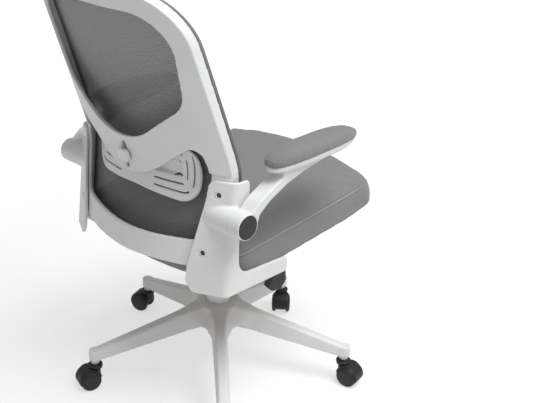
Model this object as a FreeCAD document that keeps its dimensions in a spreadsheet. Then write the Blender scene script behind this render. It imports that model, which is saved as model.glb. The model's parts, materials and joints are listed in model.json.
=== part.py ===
import FreeCAD, Part
import math
import os
import re
import Sketcher
from FreeCAD import Placement, Rotation, Vector

# Office chair on a five-star base, in millimetres.
# The origin is on the floor under the column, the sitter faces -Y and +Z is up.

os.makedirs("parts", exist_ok=True)
doc = FreeCAD.newDocument("office_chair")

# Driving sizes
SIZES = {
    # fits
    "running_fit": 0.05,
    "free_gap": 0.4,
    # casters
    "wheel_diameter": 50,
    "wheel_width": 17,
    "wheel_bevel": 2.5,
    "wheel_dish": 1.5,
    "wheel_rim": 3.5,
    "wheel_cap_radius": 12,
    "wheel_side_gap": 0.6,
    "axle_radius": 3,
    "web_thickness": 13,
    "hood_wall": 2.4,
    "hood_clearance": 1.2,
    "hood_floor_gap": 11,
    "hood_boss": 8,
    "caster_trail": 18,
    "caster_neck_rise": 10,
    "caster_ring_radius": 16,
    "caster_ring_height": 7,
    "caster_neck_radius": 12,
    "caster_ring_taper": 4,
    "stem_pin_radius": 4,
    "stem_pin_length": 22,
    "stem_collar_height": 4,
    "stem_collar_radius": 8.5,
    "stem_shank_radius": 5.5,
    "stem_shank_length": 28,
    # five-star base
    "stem_circle_radius": 312,
    "leg_first_angle": 66.87,
    "socket_radius": 11,
    "socket_drop": 9,
    "leg_tip_depth": 26,
    "leg_rise": 79,
    "leg_root_depth": 56,
    "leg_root_radius": 30,
    "leg_root_top_half": 14,
    "leg_root_foot_half": 20,
    "leg_tip_top_half": 12,
    "leg_tip_foot_half": 15,
    "leg_shoulder": 4,
    "leg_wall": 4,
    "leg_end_edge": 1,
    "hub_radius": 44,
    "hub_depth": 70,
    "hub_edge": 6,
    # gas spring and its cover
    "tube_radius": 25,
    "tube_taper": 0.8,
    "tube_wall": 1.5,
    "tube_below_hub": 12,
    "tube_rise": 72,
    "bush_length": 72,
    "inner_tube_radius": 14,
    "inner_tube_wall": 2,
    "inner_tube_taper": 0.7,
    "piston_rod_radius": 5,
    "piston_height": 10,
    "piston_clearance": 0.3,
    "lift_up": 30,
    "valve_radius": 4,
    "valve_rise": 6,
    "valve_edge": 1,
    "cover_wall": 1.1,
    "cover_gap": 0.4,
    "cover_length": 68,
    "column_length": 152,
    # tilt mechanism
    "housing_half_width": 70,
    "housing_front": 118,
    "housing_rear": 60,
    "housing_wall": 2.5,
    "housing_front_height": 56,
    "housing_rear_height": 22,
    "socket_below_floor": 8,
    "socket_wall": 4,
    "taper_height": 22,
    "shaft_radius": 6,
    "shaft_forward": 95,
    "shaft_rise": 42,
    "ear_thickness": 3,
    "ear_gap": 1,
    "ear_radius": 14,
    "shaft_end": 5,
    "spring_forward": 62,
    "spring_radius": 11,
    "spring_wire": 2,
    "spring_turns": 5,
    "spring_top_gap": 1.6,
    "tension_bolt_radius": 5,
    "tension_disc_radius": 14,
    "tension_disc_height": 3,
    "knob_radius": 22,
    "knob_height": 26,
    "knob_below_floor": 4,
    "knob_edge": 4,
    "knob_shoulder": 8,
    # lever
    "lever_back": 8.5,
    "lever_rise": 20.6,
    "lever_yaw": 7,
    "lever_droop": 10,
    "lever_inner_reach": 70,
    "lever_outer_reach": 140,
    "lever_rod_radius": 4,
    "lever_bush_radius": 8,
    "lever_bush_length": 14,
    "lever_hole_gap": 1.6,
    "paddle_thickness": 9,
    "paddle_half_width": 26,
    "paddle_rise": 16,
    "paddle_drop": 32,
    "paddle_corner": 13,
    # seat
    "seat_over_floor": 71.5,
    "seat_slope": 5.7,
    "seat_half_width": 247.5,
    "seat_front": 271,
    "seat_front_bow": 16,
    "seat_rear": 176,
    "seat_rear_bow": 52,
    "seat_front_corner": 55,
    "seat_rear_corner": 45,
    "seat_edge_height": 66,
    "seat_crown": 27,
    "seat_top_round": 20,
    "board_inset": 16,
    "board_thickness": 12,
    "board_gap": 0.3,
    "cushion_lift": 0.5,
    "plate_half_width": 95,
    "plate_front": 125,
    "plate_rear": 85,
    "plate_thickness": 3,
    "seat_bolt_spread": 82,
    "seat_bolt_front": 60,
    "seat_bolt_rear": 68,
    "bolt_radius": 4,
    "bolt_head_radius": 7,
    "bolt_head_height": 5,
    "bolt_bite": 9,
    "foot_bolt_grip": 9,
    # side brackets
    "bracket_side_gap": 8.5,
    "bracket_wall": 7,
    "bracket_drop": 31.5,
    "bracket_front": 42,
    "bracket_bar_height": 35,
    "bracket_corner_back": 221,
    "bracket_corner_radius": 22,
    "bracket_plan_slope": 0.5,
    "bracket_height": 240,
    "bracket_upright_front": 186,
    "bracket_top_front": 159,
    "bracket_foot_width": 46,
    "bracket_foot_front": 80,
    "bracket_foot_rear": 200,
    "bracket_bolt_inset": 36,
    "bracket_bolt_front": 100,
    "bracket_bolt_rear": 138,
    "boss_radius": 27,
    "boss_proud": 6,
    "boss_inset": 56,
    "pivot_back": 204,
    "pivot_rise": 134.5,
    "pin_radius": 6,
    "pin_bite": 12.5,
    "pin_head_radius": 10,
    "pin_head_height": 3,
    "back_screw_radius": 2.5,
    "back_screw_head_radius": 4.6,
    "back_screw_head_height": 3,
    "back_screw_length": 11,
    "back_screw_recess": 2.2,
    "upper_screw_inset": 33,
    "upper_screw_rise": 212,
    "lower_screw_inset": 53,
    "lower_screw_rise": 88,
    # back
    "back_side_inset": 5.5,
    "back_top_taper": 20,
    "back_top": 590,
    "back_bottom": 11,
    "back_top_corner": 108,
    "back_bottom_corner": 60,
    "back_bow": 71.17,
    "back_lower_lean": 0.12,
    "back_upper_lean": 0.32,
    "lumbar_height": 206.5,
    "lumbar_back": 258,
    "lumbar_blend": 30,
    "frame_wall": 9,
    "rim_wall": 7,
    "rim_depth": 17,
    "mesh_thickness": 3,
    "mesh_edge_thickness": 8,
    "mesh_hollow": 52,
    "mesh_hollow_end": 30,
    "upper_post_width": 44,
    "band_rise": 81,
    "band_slope": 0.7,
    "band_low": 150,
    "side_post_width": 42,
    "post_knee_drop": 72.4,
    "crossbar_top": 60,
    # lumbar support
    "pad_half_width": 165,
    "pad_low": 137,
    "pad_high": 272,
    "pad_waist": 18,
    "pad_offset": 23,
    "pad_thickness": 4,
    "slot_width": 4,
    "carrier_half_width": 18,
    "carrier_height": 34,
    "stud_half_width": 6,
    "stud_height": 12,
    "lumbar_travel": 20,
    "lumbar_slide_lean": 11,
    "holder_gap": 4.5,
    "slot_margin": 4,
    "lumbar_slot_height": 220.5,
    "grip_half_width": 17,
    "grip_height": 26,
    "grip_thickness": 6,
    # armrests
    "arm_width": 35,
    "arm_hub_gap": 0.4,
    "cap_radius": 24.8,
    "cap_thickness": 2.6,
    "cap_recess": 9,
    "cap_edge": 1,
    "cap_ledge": 4,
    "pad_outset": 3.1,
    "armpad_length": 254,
    "armpad_width": 68,
    "armpad_height": 24,
    "armpad_end_taper": 14,
    "armpad_crown": 9,
    "armpad_back": 11,
    "armpad_rise": 243,
    "shell_thickness": 10,
    "shell_inset": 6,
    "shell_end": 10,
    "arm_screw_spacing": 110,
    "arm_screw_radius": 2.2,
    "arm_screw_head_radius": 4,
    "arm_screw_head_height": 2.5,
    "arm_screw_bite": 8,
}

# Sizes that follow from the driving ones
DERIVED = {
    "wheel_radius": "wheel_diameter / 2",
    "wheel_inner": "web_thickness / 2 + wheel_side_gap",
    "hood_half": "wheel_inner + wheel_width + wheel_side_gap",
    "well_radius": "wheel_radius + hood_clearance",
    "hood_radius": "well_radius + hood_wall",
    "caster_height": "wheel_diameter + caster_neck_rise",
    "socket_bottom": "caster_height + stem_collar_height",
    "leg_tip_bottom": "socket_bottom + socket_drop",
    "leg_tip_top": "leg_tip_bottom + leg_tip_depth",
    "hub_top": "leg_tip_top + leg_rise",
    "hub_bottom": "hub_top - hub_depth",
    "leg_root_bottom": "hub_top - leg_root_depth",
    "tube_bottom": "hub_bottom - tube_below_hub",
    "tube_top": "hub_top + tube_rise",
    "tube_bore": "tube_radius - tube_taper - tube_wall",
    "bush_bottom": "tube_top - bush_length",
    "mech_floor": "hub_top + column_length",
    "inner_top": "mech_floor + taper_height",
    "inner_bottom": "bush_bottom",
    "inner_bore": "inner_tube_radius - inner_tube_wall",
    "piston_top": "inner_bottom + lift_up + inner_tube_wall + piston_height + free_gap",
    "socket_low": "mech_floor - socket_below_floor",
    "cover_inner": "tube_radius + cover_gap",
    "cover_mid": "cover_inner + cover_wall + cover_gap",
    "cover_outer": "cover_mid + cover_wall + cover_gap",
    "cover_top": "socket_low - cover_gap",
    "cover_mid_bottom": "(hub_top + cover_top - cover_length) / 2",
    "seat_plane": "mech_floor + seat_over_floor",
    "shaft_level": "mech_floor + shaft_rise",
    "ear_inner": "housing_half_width + ear_gap",
    "ear_outer": "ear_inner + ear_thickness",
    "disc_bottom": "mech_floor + housing_wall + running_fit",
    "spring_bottom": "disc_bottom + tension_disc_height + spring_wire",
    "bracket_half_width": "seat_half_width + bracket_side_gap",
    "bracket_bolt_in": "bracket_half_width - bracket_bolt_inset",
    "boss_face": "bracket_half_width + boss_proud",
    "boss_root": "bracket_half_width - boss_inset",
    "back_half_width": "seat_half_width - back_side_inset",
    "back_curve_radius": "(back_half_width * back_half_width + back_bow * back_bow) / (2 * back_bow)",
    "upper_opening_half": "back_half_width - upper_post_width",
    "bracket_low": "seat_plane - bracket_drop",
    "bracket_top": "bracket_low + bracket_height",
    "pivot_level": "seat_plane + pivot_rise",
    "hub_inner_face": "boss_face + arm_hub_gap",
    "hub_outer_face": "hub_inner_face + arm_width",
    "arm_center": "hub_inner_face + arm_width / 2",
    "pad_center": "arm_center + pad_outset",
    "pin_head_face": "hub_outer_face - cap_recess + free_gap",
    "armpad_level": "seat_plane + armpad_rise",
}

sheet = doc.addObject("Spreadsheet::Sheet", "sizes")
for row, (alias, value) in enumerate(SIZES.items(), start=1):
    sheet.set(f"A{row}", alias)
    sheet.set(f"B{row}", str(value))
    sheet.setAlias(f"B{row}", alias)
doc.recompute()


def bound(text):
    """The expression with every size name pointing at the sheet."""
    def swap(found):
        word = found.group()
        if word in DERIVED:
            return "(" + bound(DERIVED[word]) + ")"
        if word in SIZES:
            return "sizes." + word
        return word
    return re.sub(r"[a-z_][a-z_0-9]*", swap, str(text))


def number(text):
    """The value of an expression over the sheet."""
    return float(sheet.evalExpression(bound(text)))


NODES = []


def keep(thing, label):
    """Name a finished sub-part and put it on the list of exports."""
    thing.Label = label
    NODES.append(thing)
    return thing


# Drawing helpers
def origin_item(body, role):
    return [item for item in body.Origin.OriginFeatures if item.Role == role][0]


def new_sketch(body, role, lift, shift):
    sketch = body.newObject("Sketcher::SketchObject", "sketch")
    sketch.AttachmentSupport = [(origin_item(body, role), "")]
    sketch.MapMode = "FlatFace"
    for axis, text in zip("xyz", (shift[0], shift[1], lift)):
        sketch.setExpression(f"AttachmentOffset.Base.{axis}", bound(text))
    return sketch


def pin_point(sketch, piece, end, x, y):
    """Hold one point of a sketch at two expressions."""
    for kind, axis, text in (("DistanceX", -2, x), ("DistanceY", -1, y)):
        if text == "0":
            sketch.addConstraint(Sketcher.Constraint("PointOnObject", piece, end, axis))
        else:
            index = sketch.addConstraint(Sketcher.Constraint(kind, piece, end, number(text)))
            sketch.setExpression(f"Constraints[{index}]", bound(text))


def outline(body, role, points, lift="0", shift=("0", "0")):
    """A closed outline of straight lines through pairs of expressions."""
    sketch = new_sketch(body, role, lift, shift)
    corners = [Vector(number(x), number(y), 0) for x, y in points]
    count = len(corners)
    for i in range(count):
        sketch.addGeometry(Part.LineSegment(corners[i], corners[(i + 1) % count]), False)
    for i in range(count):
        sketch.addConstraint(Sketcher.Constraint("Coincident", i, 2, (i + 1) % count, 1))
    for i, (x, y) in enumerate(points):
        pin_point(sketch, i, 1, x, y)
    return sketch


def circles(body, role, centers, radius, lift="0"):
    """Equal circles at pairs of expressions."""
    sketch = new_sketch(body, role, lift, ("0", "0"))
    for i, (x, y) in enumerate(centers):
        middle = Vector(number(x), number(y), 0)
        sketch.addGeometry(Part.Circle(middle, Vector(0, 0, 1), number(radius)), False)
        pin_point(sketch, i, 3, x, y)
        index = sketch.addConstraint(Sketcher.Constraint("Radius", i, number(radius)))
        sketch.setExpression(f"Constraints[{index}]", bound(radius))
    return sketch


def feature(body, kind, sketch, length=None, both=False, reverse=False):
    """A pad or pocket of a sketch."""
    made = body.newObject(f"PartDesign::{kind}", kind.lower())
    made.Profile = sketch
    if length is not None:
        made.setExpression("Length", bound(length))
    if both:
        made.SideType = "Symmetric"
    made.Reversed = reverse
    doc.recompute()
    return made


def turn(body, kind, sketch):
    """A revolution or groove of a sketch about its own vertical axis."""
    made = body.newObject(f"PartDesign::{kind}", kind.lower())
    made.Profile = sketch
    made.ReferenceAxis = (sketch, ["V_Axis"])
    made.Angle = 360
    doc.recompute()
    return made


def ring_of(body, originals, count):
    """Repeat features around the body's own Z axis."""
    made = body.newObject("PartDesign::PolarPattern", "ring")
    made.Originals = originals
    made.Axis = (origin_item(body, "Z_Axis"), [""])
    made.Angle = 360
    made.Occurrences = count
    body.Tip = made
    doc.recompute()
    return made


def round_edges(body, radius, chosen):
    """Fillet the edges of the body that the test chooses."""
    before = body.Tip
    names = [f"Edge{i}" for i, edge in enumerate(before.Shape.Edges, start=1) if chosen(edge)]
    made = body.newObject("PartDesign::Fillet", "fillet")
    made.Base = (before, names)
    made.setExpression("Radius", bound(radius))
    doc.recompute()
    return made


def new_body(label):
    return keep(doc.addObject("PartDesign::Body", label), label)


def turned(label, profile):
    """A body turned about its own Z axis from pairs of radius and height."""
    body = new_body(label)
    turn(body, "Revolution", outline(body, "XZ_Plane", profile))
    return body


def tube_profile(inner, outer, low, high):
    return [(inner, low), (outer, low), (outer, high), (inner, high)]


def shaped(label, shape, place=Placement()):
    """A sub-part whose solid is made by the functions below."""
    made = doc.addObject("Part::Feature", label)
    made.Shape = shape
    made.Placement = place
    return keep(made, label)


def copies(label, master, places):
    """A group of equal solids set at several places."""
    solids = []
    for place in places:
        solid = master.Shape.copy()
        solid.Placement = place
        solids.append(solid)
    return shaped(label, Part.makeCompound(solids))


def master_screw(name, profile):
    """A screw that is only used through its copies."""
    body = doc.addObject("PartDesign::Body", name)
    turn(body, "Revolution", outline(body, "XZ_Plane", profile))
    return body


def along(point, direction):
    """The place of a turned part whose axis points in a direction."""
    return Placement(point, Rotation(Vector(0, 0, 1), direction))


def rounded_wire(corners, to_space):
    """A closed wire through flat corners (a, b, radius), with an arc at each rounded corner."""
    count = len(corners)
    flat = [Vector(a, b, 0) for a, b, _ in corners]
    starts, ends, middles = [], [], []
    for i in range(count):
        here, radius = flat[i], corners[i][2]
        before = (flat[i - 1] - here).normalize()
        after = (flat[(i + 1) % count] - here).normalize()
        half = before.getAngle(after) / 2
        if radius == 0 or half > math.radians(89.9):
            starts.append(here)
            ends.append(here)
            middles.append(None)
            continue
        reach = radius / math.tan(half)
        inward = (before + after).normalize()
        center = here + inward * (radius / math.sin(half))
        starts.append(here + before * reach)
        ends.append(here + after * reach)
        middles.append(center - inward * radius)
    edges = []
    for i in range(count):
        if middles[i] is not None:
            arc = Part.Arc(to_space(starts[i]), to_space(middles[i]), to_space(ends[i]))
            edges.append(arc.toShape())
        after = starts[(i + 1) % count]
        if (after - ends[i]).Length > 1e-6:
            edges.append(Part.LineSegment(to_space(ends[i]), to_space(after)).toShape())
    return Part.Wire(edges)


def mirrored(half):
    """Corners of the +X half, from top to bottom, joined with their mirror."""
    other = [(-a, b, radius) for a, b, radius in reversed(half) if a > 0]
    return half + other


def prism_y(corners, low, high):
    """A rounded outline in X and Z, carried along Y."""
    face = Part.Face(rounded_wire(corners, lambda p: Vector(p.x, low, p.y)))
    return face.extrude(Vector(0, high - low, 0))


def prism_x(corners, low, high):
    """A rounded outline in Y and Z, carried along X."""
    face = Part.Face(rounded_wire(corners, lambda p: Vector(low, p.x, p.y)))
    return face.extrude(Vector(high - low, 0, 0))


# Casters
def caster(letter, leg_angle, trail_angle):
    """A hooded twin-wheel caster; its own X axis points from the stem to the axle."""
    reach = number("stem_circle_radius")
    turn_to = math.radians(leg_angle)
    foot = Vector(reach * math.cos(turn_to), reach * math.sin(turn_to), 0)
    place = Placement(foot, Rotation(Vector(0, 0, 1), trail_angle))

    hood = new_body(f"caster_hood_{letter}")
    middle = ("caster_trail", "wheel_radius")
    feature(hood, "Pad", circles(hood, "XZ_Plane", [middle], "hood_radius"), "2 * hood_half", both=True)
    ring_low = "caster_height - caster_ring_height"
    neck = [("0", "wheel_radius"), ("caster_neck_radius", "wheel_radius"),
            ("caster_neck_radius", f"{ring_low} - caster_ring_taper"), ("caster_ring_radius", ring_low),
            ("caster_ring_radius", "caster_height"), ("0", "caster_height")]
    turn(hood, "Revolution", outline(hood, "XZ_Plane", neck))
    for lift in ("hood_half + caster_ring_radius", "-web_thickness / 2"):
        well = circles(hood, "XZ_Plane", [middle], "well_radius", lift)
        feature(hood, "Pocket", well, "hood_half + caster_ring_radius - web_thickness / 2")
    below = [("-2 * hood_radius", "-hood_radius"), ("3 * hood_radius", "-hood_radius"),
             ("3 * hood_radius", "hood_floor_gap"), ("-2 * hood_radius", "hood_floor_gap")]
    feature(hood, "Pocket", outline(hood, "XZ_Plane", below), "4 * hood_half", both=True)
    ahead = [("-2 * hood_radius", "-hood_radius"), ("caster_trail - hood_boss", "-hood_radius"),
             ("caster_trail - hood_boss", "wheel_radius - hood_boss"),
             ("-caster_neck_radius", "wheel_radius + hood_boss"),
             ("-2 * hood_radius", "wheel_radius + hood_boss")]
    feature(hood, "Pocket", outline(hood, "XZ_Plane", ahead), "4 * hood_half", both=True)
    stem_bore = circles(hood, "XY_Plane", [("0", "0")], "stem_pin_radius + running_fit", "caster_height")
    feature(hood, "Pocket", stem_bore, "stem_pin_length + free_gap")
    axle_bore = circles(hood, "XZ_Plane", [middle], "axle_radius")
    feature(hood, "Pocket", axle_bore, "4 * hood_half", both=True)
    hood.Placement = place

    center = Vector(number("caster_trail"), 0, number("wheel_radius"))
    across = Rotation(Vector(1, 0, 0), -90)
    axle_half = "wheel_inner + wheel_width - wheel_dish"
    axle = turned(f"caster_axle_{letter}", [("0", f"-({axle_half})"), ("axle_radius", f"-({axle_half})"),
                                            ("axle_radius", axle_half), ("0", axle_half)])
    axle.Placement = place.multiply(Placement(center, across))

    for side, spin in (("a", -90), ("b", 90)):
        rim = "wheel_radius - wheel_rim"
        floor = "wheel_width - wheel_dish"
        profile = [("axle_radius + running_fit", "0"), ("wheel_radius - wheel_bevel", "0"),
                   ("wheel_radius", "wheel_bevel"), ("wheel_radius", "wheel_width - wheel_bevel"),
                   ("wheel_radius - wheel_bevel", "wheel_width"), (rim, "wheel_width"),
                   (rim, floor), ("wheel_cap_radius", floor),
                   ("wheel_cap_radius - wheel_dish", "wheel_width"),
                   ("axle_radius + running_fit", "wheel_width")]
        wheel = turned(f"caster_wheel_{letter}_{side}", profile)
        outward = Rotation(Vector(1, 0, 0), spin)
        inner = center + outward.multVec(Vector(0, 0, number("wheel_inner")))
        wheel.Placement = place.multiply(Placement(inner, outward))


# Angle of each leg's caster at rest; the two casters in view set the second and third
TRAIL_ANGLES = {"a": 160, "b": 191, "c": 132, "d": 20, "e": 75}


def leg_angle(index):
    return number("leg_first_angle") + index * 360 / len(TRAIL_ANGLES)


for index, (letter, trail) in enumerate(TRAIL_ANGLES.items(), start=1):
    caster(letter, leg_angle(index), trail)


# Five-star base
def leg_section(body, radius, top_half, foot_half, low, high, lift_low):
    points = [(f"-({foot_half})", f"{low} - {lift_low}"), (foot_half, f"{low} - {lift_low}"),
              (top_half, f"{high} - leg_shoulder"), (f"{top_half} - leg_shoulder", high),
              (f"leg_shoulder - ({top_half})", high), (f"-({top_half})", f"{high} - leg_shoulder")]
    return outline(body, "YZ_Plane", points, radius)


def leg_loft(body, kind, wall, foot):
    root = leg_section(body, "leg_root_radius", f"leg_root_top_half - {wall}", f"leg_root_foot_half - {wall}",
                       "leg_root_bottom", f"hub_top - {wall}", foot)
    tip = leg_section(body, "stem_circle_radius", f"leg_tip_top_half - {wall}", f"leg_tip_foot_half - {wall}",
                      "leg_tip_bottom", f"leg_tip_top - {wall}", foot)
    made = body.newObject(f"PartDesign::{kind}", "leg")
    made.Profile = root
    made.Sections = [tip]
    doc.recompute()
    return made


def star_base():
    body = new_body("star_base")
    leg = leg_loft(body, "AdditiveLoft", "0", "0")
    hollow = leg_loft(body, "SubtractiveLoft", "leg_wall", "free_gap")
    ring_of(body, [leg, hollow], len(TRAIL_ANGLES))
    hub = [("0", "hub_bottom"), ("hub_radius - hub_edge", "hub_bottom"), ("hub_radius", "leg_root_bottom"),
           ("hub_radius", "hub_top - hub_edge"), ("hub_radius - hub_edge", "hub_top"), ("0", "hub_top")]
    turn(body, "Revolution", outline(body, "XZ_Plane", hub))
    socket = [("stem_circle_radius", "0")]
    end = feature(body, "Pad", circles(body, "XY_Plane", socket, "leg_tip_foot_half - leg_end_edge",
                                       "leg_tip_bottom"), "leg_tip_depth - leg_end_edge")
    boss = feature(body, "Pad", circles(body, "XY_Plane", socket, "socket_radius", "socket_bottom"),
                   "leg_tip_depth")
    bore = feature(body, "Pocket", circles(body, "XY_Plane", socket, "stem_shank_radius", "socket_bottom"),
                   "stem_shank_length", reverse=True)
    ring_of(body, [end, boss, bore], len(TRAIL_ANGLES))
    taper = [("0", "hub_bottom - free_gap"), ("tube_radius - tube_taper", "hub_bottom - free_gap"),
             ("tube_radius - tube_taper", "hub_bottom"), ("tube_radius", "hub_top"),
             ("tube_radius", "hub_top + free_gap"), ("0", "hub_top + free_gap")]
    turn(body, "Groove", outline(body, "XZ_Plane", taper))
    body.Placement = Placement(Vector(), Rotation(Vector(0, 0, 1), leg_angle(0)))


def caster_stems():
    body = new_body("caster_stems")
    low, high = "caster_height - stem_pin_length", "socket_bottom + stem_shank_length"
    collar = "caster_height + free_gap"
    profile = [("0", low), ("stem_pin_radius", low), ("stem_pin_radius", collar),
               ("stem_collar_radius", collar),
               ("stem_collar_radius", "socket_bottom"), ("stem_shank_radius", "socket_bottom"),
               ("stem_shank_radius", high), ("0", high)]
    sketch = outline(body, "XZ_Plane", profile, shift=("stem_circle_radius", "0"))
    stem = turn(body, "Revolution", sketch)
    ring_of(body, [stem], len(TRAIL_ANGLES))
    body.Placement = Placement(Vector(), Rotation(Vector(0, 0, 1), leg_angle(0)))


star_base()
caster_stems()


# Gas spring
def gas_spring():
    foot = "tube_bottom + 2 * tube_wall"
    turned("gas_outer_tube", [
        ("piston_rod_radius", "tube_bottom"), ("tube_radius - tube_taper", "tube_bottom"),
        ("tube_radius - tube_taper", "hub_bottom"), ("tube_radius", "hub_top"), ("tube_radius", "tube_top"),
        ("tube_bore", "tube_top"), ("tube_bore", foot), ("piston_rod_radius", foot)])
    bush_bore = "inner_tube_radius + running_fit"
    turned("guide_bush", tube_profile(bush_bore, "tube_bore", "bush_bottom", "tube_top"))
    turned("piston_rod", [
        ("0", "tube_bottom"), ("piston_rod_radius", "tube_bottom"),
        ("piston_rod_radius", "piston_top - piston_height"),
        ("inner_bore - piston_clearance", "piston_top - piston_height"),
        ("inner_bore - piston_clearance", "piston_top"), ("0", "piston_top")])
    valve_bore = "valve_radius + running_fit"
    turned("gas_inner_tube", [
        ("piston_rod_radius + running_fit", "inner_bottom"), ("inner_tube_radius", "inner_bottom"),
        ("inner_tube_radius", "socket_low"), ("inner_tube_radius - inner_tube_taper", "inner_top"),
        (valve_bore, "inner_top"), (valve_bore, "inner_top - 2 * valve_rise"),
        ("inner_bore", "inner_top - 2 * valve_rise"), ("inner_bore", "inner_bottom + inner_tube_wall"),
        ("piston_rod_radius + running_fit", "inner_bottom + inner_tube_wall")])
    turned("valve_button", [
        ("0", "inner_top - valve_rise"), ("valve_radius", "inner_top - valve_rise"),
        ("valve_radius", "inner_top + valve_rise - valve_edge"),
        ("valve_radius - valve_edge", "inner_top + valve_rise"), ("0", "inner_top + valve_rise")])


def column_covers():
    turned("cover_lower", tube_profile("cover_outer", "cover_outer + cover_wall", "hub_top",
                                       "hub_top + cover_length"))
    turned("cover_middle", tube_profile("cover_mid", "cover_mid + cover_wall", "cover_mid_bottom",
                                        "cover_mid_bottom + cover_length"))
    neck = "inner_tube_radius + cover_gap"
    turned("cover_upper", [
        ("cover_inner", "cover_top - cover_length"), ("cover_inner + cover_wall", "cover_top - cover_length"),
        ("cover_inner + cover_wall", "cover_top"), (neck, "cover_top"), (neck, "cover_top - cover_wall"),
        ("cover_inner", "cover_top - cover_wall")])


gas_spring()
column_covers()


# Tilt mechanism
def mechanism_housing():
    body = new_body("mechanism_housing")
    rear_top = "mech_floor + housing_rear_height"
    front_top = "mech_floor + housing_front_height"
    side = [("-housing_front", "mech_floor"), ("housing_rear", "mech_floor"), ("housing_rear", rear_top),
            ("-shaft_forward + ear_radius", front_top), ("-housing_front", front_top)]
    feature(body, "Pad", outline(body, "YZ_Plane", side), "2 * housing_half_width", both=True)
    floor = "mech_floor + housing_wall"
    inside = [("-housing_front + housing_wall", floor), ("housing_rear - housing_wall", floor),
              ("housing_rear - housing_wall", f"{front_top} + free_gap"),
              ("-housing_front + housing_wall", f"{front_top} + free_gap")]
    between = "2 * (housing_half_width - housing_wall)"
    feature(body, "Pocket", outline(body, "YZ_Plane", inside), between, both=True)
    outer, lip = "inner_tube_radius + socket_wall", "inner_top - housing_wall"
    socket = [("0", "socket_low"), (outer, "socket_low"), (outer, lip), ("0", lip)]
    turn(body, "Revolution", outline(body, "XZ_Plane", socket))
    bore = [("0", "socket_low"), ("inner_tube_radius", "socket_low"),
            ("inner_tube_radius - inner_tube_taper", "inner_top"), ("0", "inner_top")]
    turn(body, "Groove", outline(body, "XZ_Plane", bore))
    shaft = circles(body, "YZ_Plane", [("-shaft_forward", "shaft_level")], "shaft_radius")
    feature(body, "Pocket", shaft, "3 * housing_half_width", both=True)
    spring_spot = [("0", "-spring_forward")]
    bolt = circles(body, "XY_Plane", spring_spot, "tension_bolt_radius + running_fit", "mech_floor")
    feature(body, "Pocket", bolt, "2 * housing_wall", reverse=True)
    hole = circles(body, "YZ_Plane", [("lever_back", "mech_floor + lever_rise")],
                   "lever_bush_radius + lever_hole_gap", "-housing_half_width - free_gap")
    feature(body, "Pocket", hole, "2 * housing_wall", reverse=True)


def tilt_shaft():
    half = "ear_outer + shaft_end"
    body = turned("tilt_shaft", [("0", f"-({half})"), ("shaft_radius", f"-({half})"),
                                 ("shaft_radius", half), ("0", half)])
    middle = Vector(0, -number("shaft_forward"), number("shaft_level"))
    body.Placement = along(middle, Vector(1, 0, 0))


def tension_set():
    """The spring, with the bolt and knob that set it."""
    forward = number("spring_forward")
    low = number("spring_bottom")
    slope = math.tan(math.radians(number("seat_slope")))
    plate_low = number("seat_plane - plate_thickness / cos(seat_slope)") + forward * slope
    high = plate_low - number("spring_wire + spring_top_gap")
    coil = Part.makeHelix((high - low) / number("spring_turns"), high - low, number("spring_radius"))
    start = Vector(number("spring_radius"), 0, 0)
    wire = Part.Wire(Part.makeCircle(number("spring_wire"), start, Vector(0, 1, 0)))
    spring = Part.Wire(coil).makePipeShell([wire], True, True)
    shaped("tension_spring", spring, Placement(Vector(0, -forward, low), Rotation()))

    bolt_low = "mech_floor - knob_below_floor - knob_height / 2"
    bolt = turned("tension_bolt", [
        ("0", bolt_low), ("tension_bolt_radius", bolt_low), ("tension_bolt_radius", "disc_bottom"),
        ("tension_disc_radius", "disc_bottom"), ("tension_disc_radius", "disc_bottom + tension_disc_height"),
        ("0", "disc_bottom + tension_disc_height")])
    knob_top = "mech_floor - knob_below_floor"
    knob_low = f"{knob_top} - knob_height"
    knob = turned("tension_knob", [
        ("0", knob_low), ("knob_radius - knob_edge", knob_low), ("knob_radius", f"{knob_low} + knob_edge"),
        ("knob_radius", f"{knob_top} - knob_shoulder"), ("knob_radius - knob_shoulder", knob_top),
        ("tension_bolt_radius", knob_top), ("tension_bolt_radius", bolt_low), ("0", bolt_low)])
    for body in (bolt, knob):
        body.Placement = Placement(Vector(0, -forward, 0), Rotation())


def lever():
    """Height and tilt lever; its rod runs outwards through the right wall of the housing."""
    yaw = math.radians(number("lever_yaw"))
    droop = math.radians(number("lever_droop"))
    outward = Vector(-math.cos(yaw) * math.cos(droop), math.sin(yaw) * math.cos(droop), -math.sin(droop))
    pivot = Vector(-number("housing_half_width"), number("lever_back"), number("mech_floor + lever_rise"))
    place = along(pivot, outward)
    half = "lever_bush_length / 2"
    bush = turned("lever_bush", tube_profile("lever_rod_radius + running_fit", "lever_bush_radius",
                                             f"-{half}", half))
    rod = turned("lever_rod", [("0", "-lever_inner_reach"), ("lever_rod_radius", "-lever_inner_reach"),
                               ("lever_rod_radius", "lever_outer_reach"), ("0", "lever_outer_reach")])
    paddle = new_body("lever_paddle")
    face = [("paddle_rise", "-paddle_half_width + 3"), ("paddle_rise", "paddle_half_width - paddle_corner"),
            ("-paddle_corner", "paddle_half_width"), ("-paddle_drop + 4", "paddle_corner"),
            ("-paddle_drop", "-paddle_corner"), ("-paddle_corner", "-paddle_half_width")]
    start = "lever_outer_reach - paddle_thickness"
    feature(paddle, "Pad", outline(paddle, "XY_Plane", face, start), "2 * paddle_thickness")
    bore = circles(paddle, "XY_Plane", [("0", "0")], "lever_rod_radius", start)
    feature(paddle, "Pocket", bore, "paddle_thickness", reverse=True)
    for body in (bush, rod, paddle):
        body.Placement = place


mechanism_housing()
tilt_shaft()
tension_set()
lever()


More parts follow.
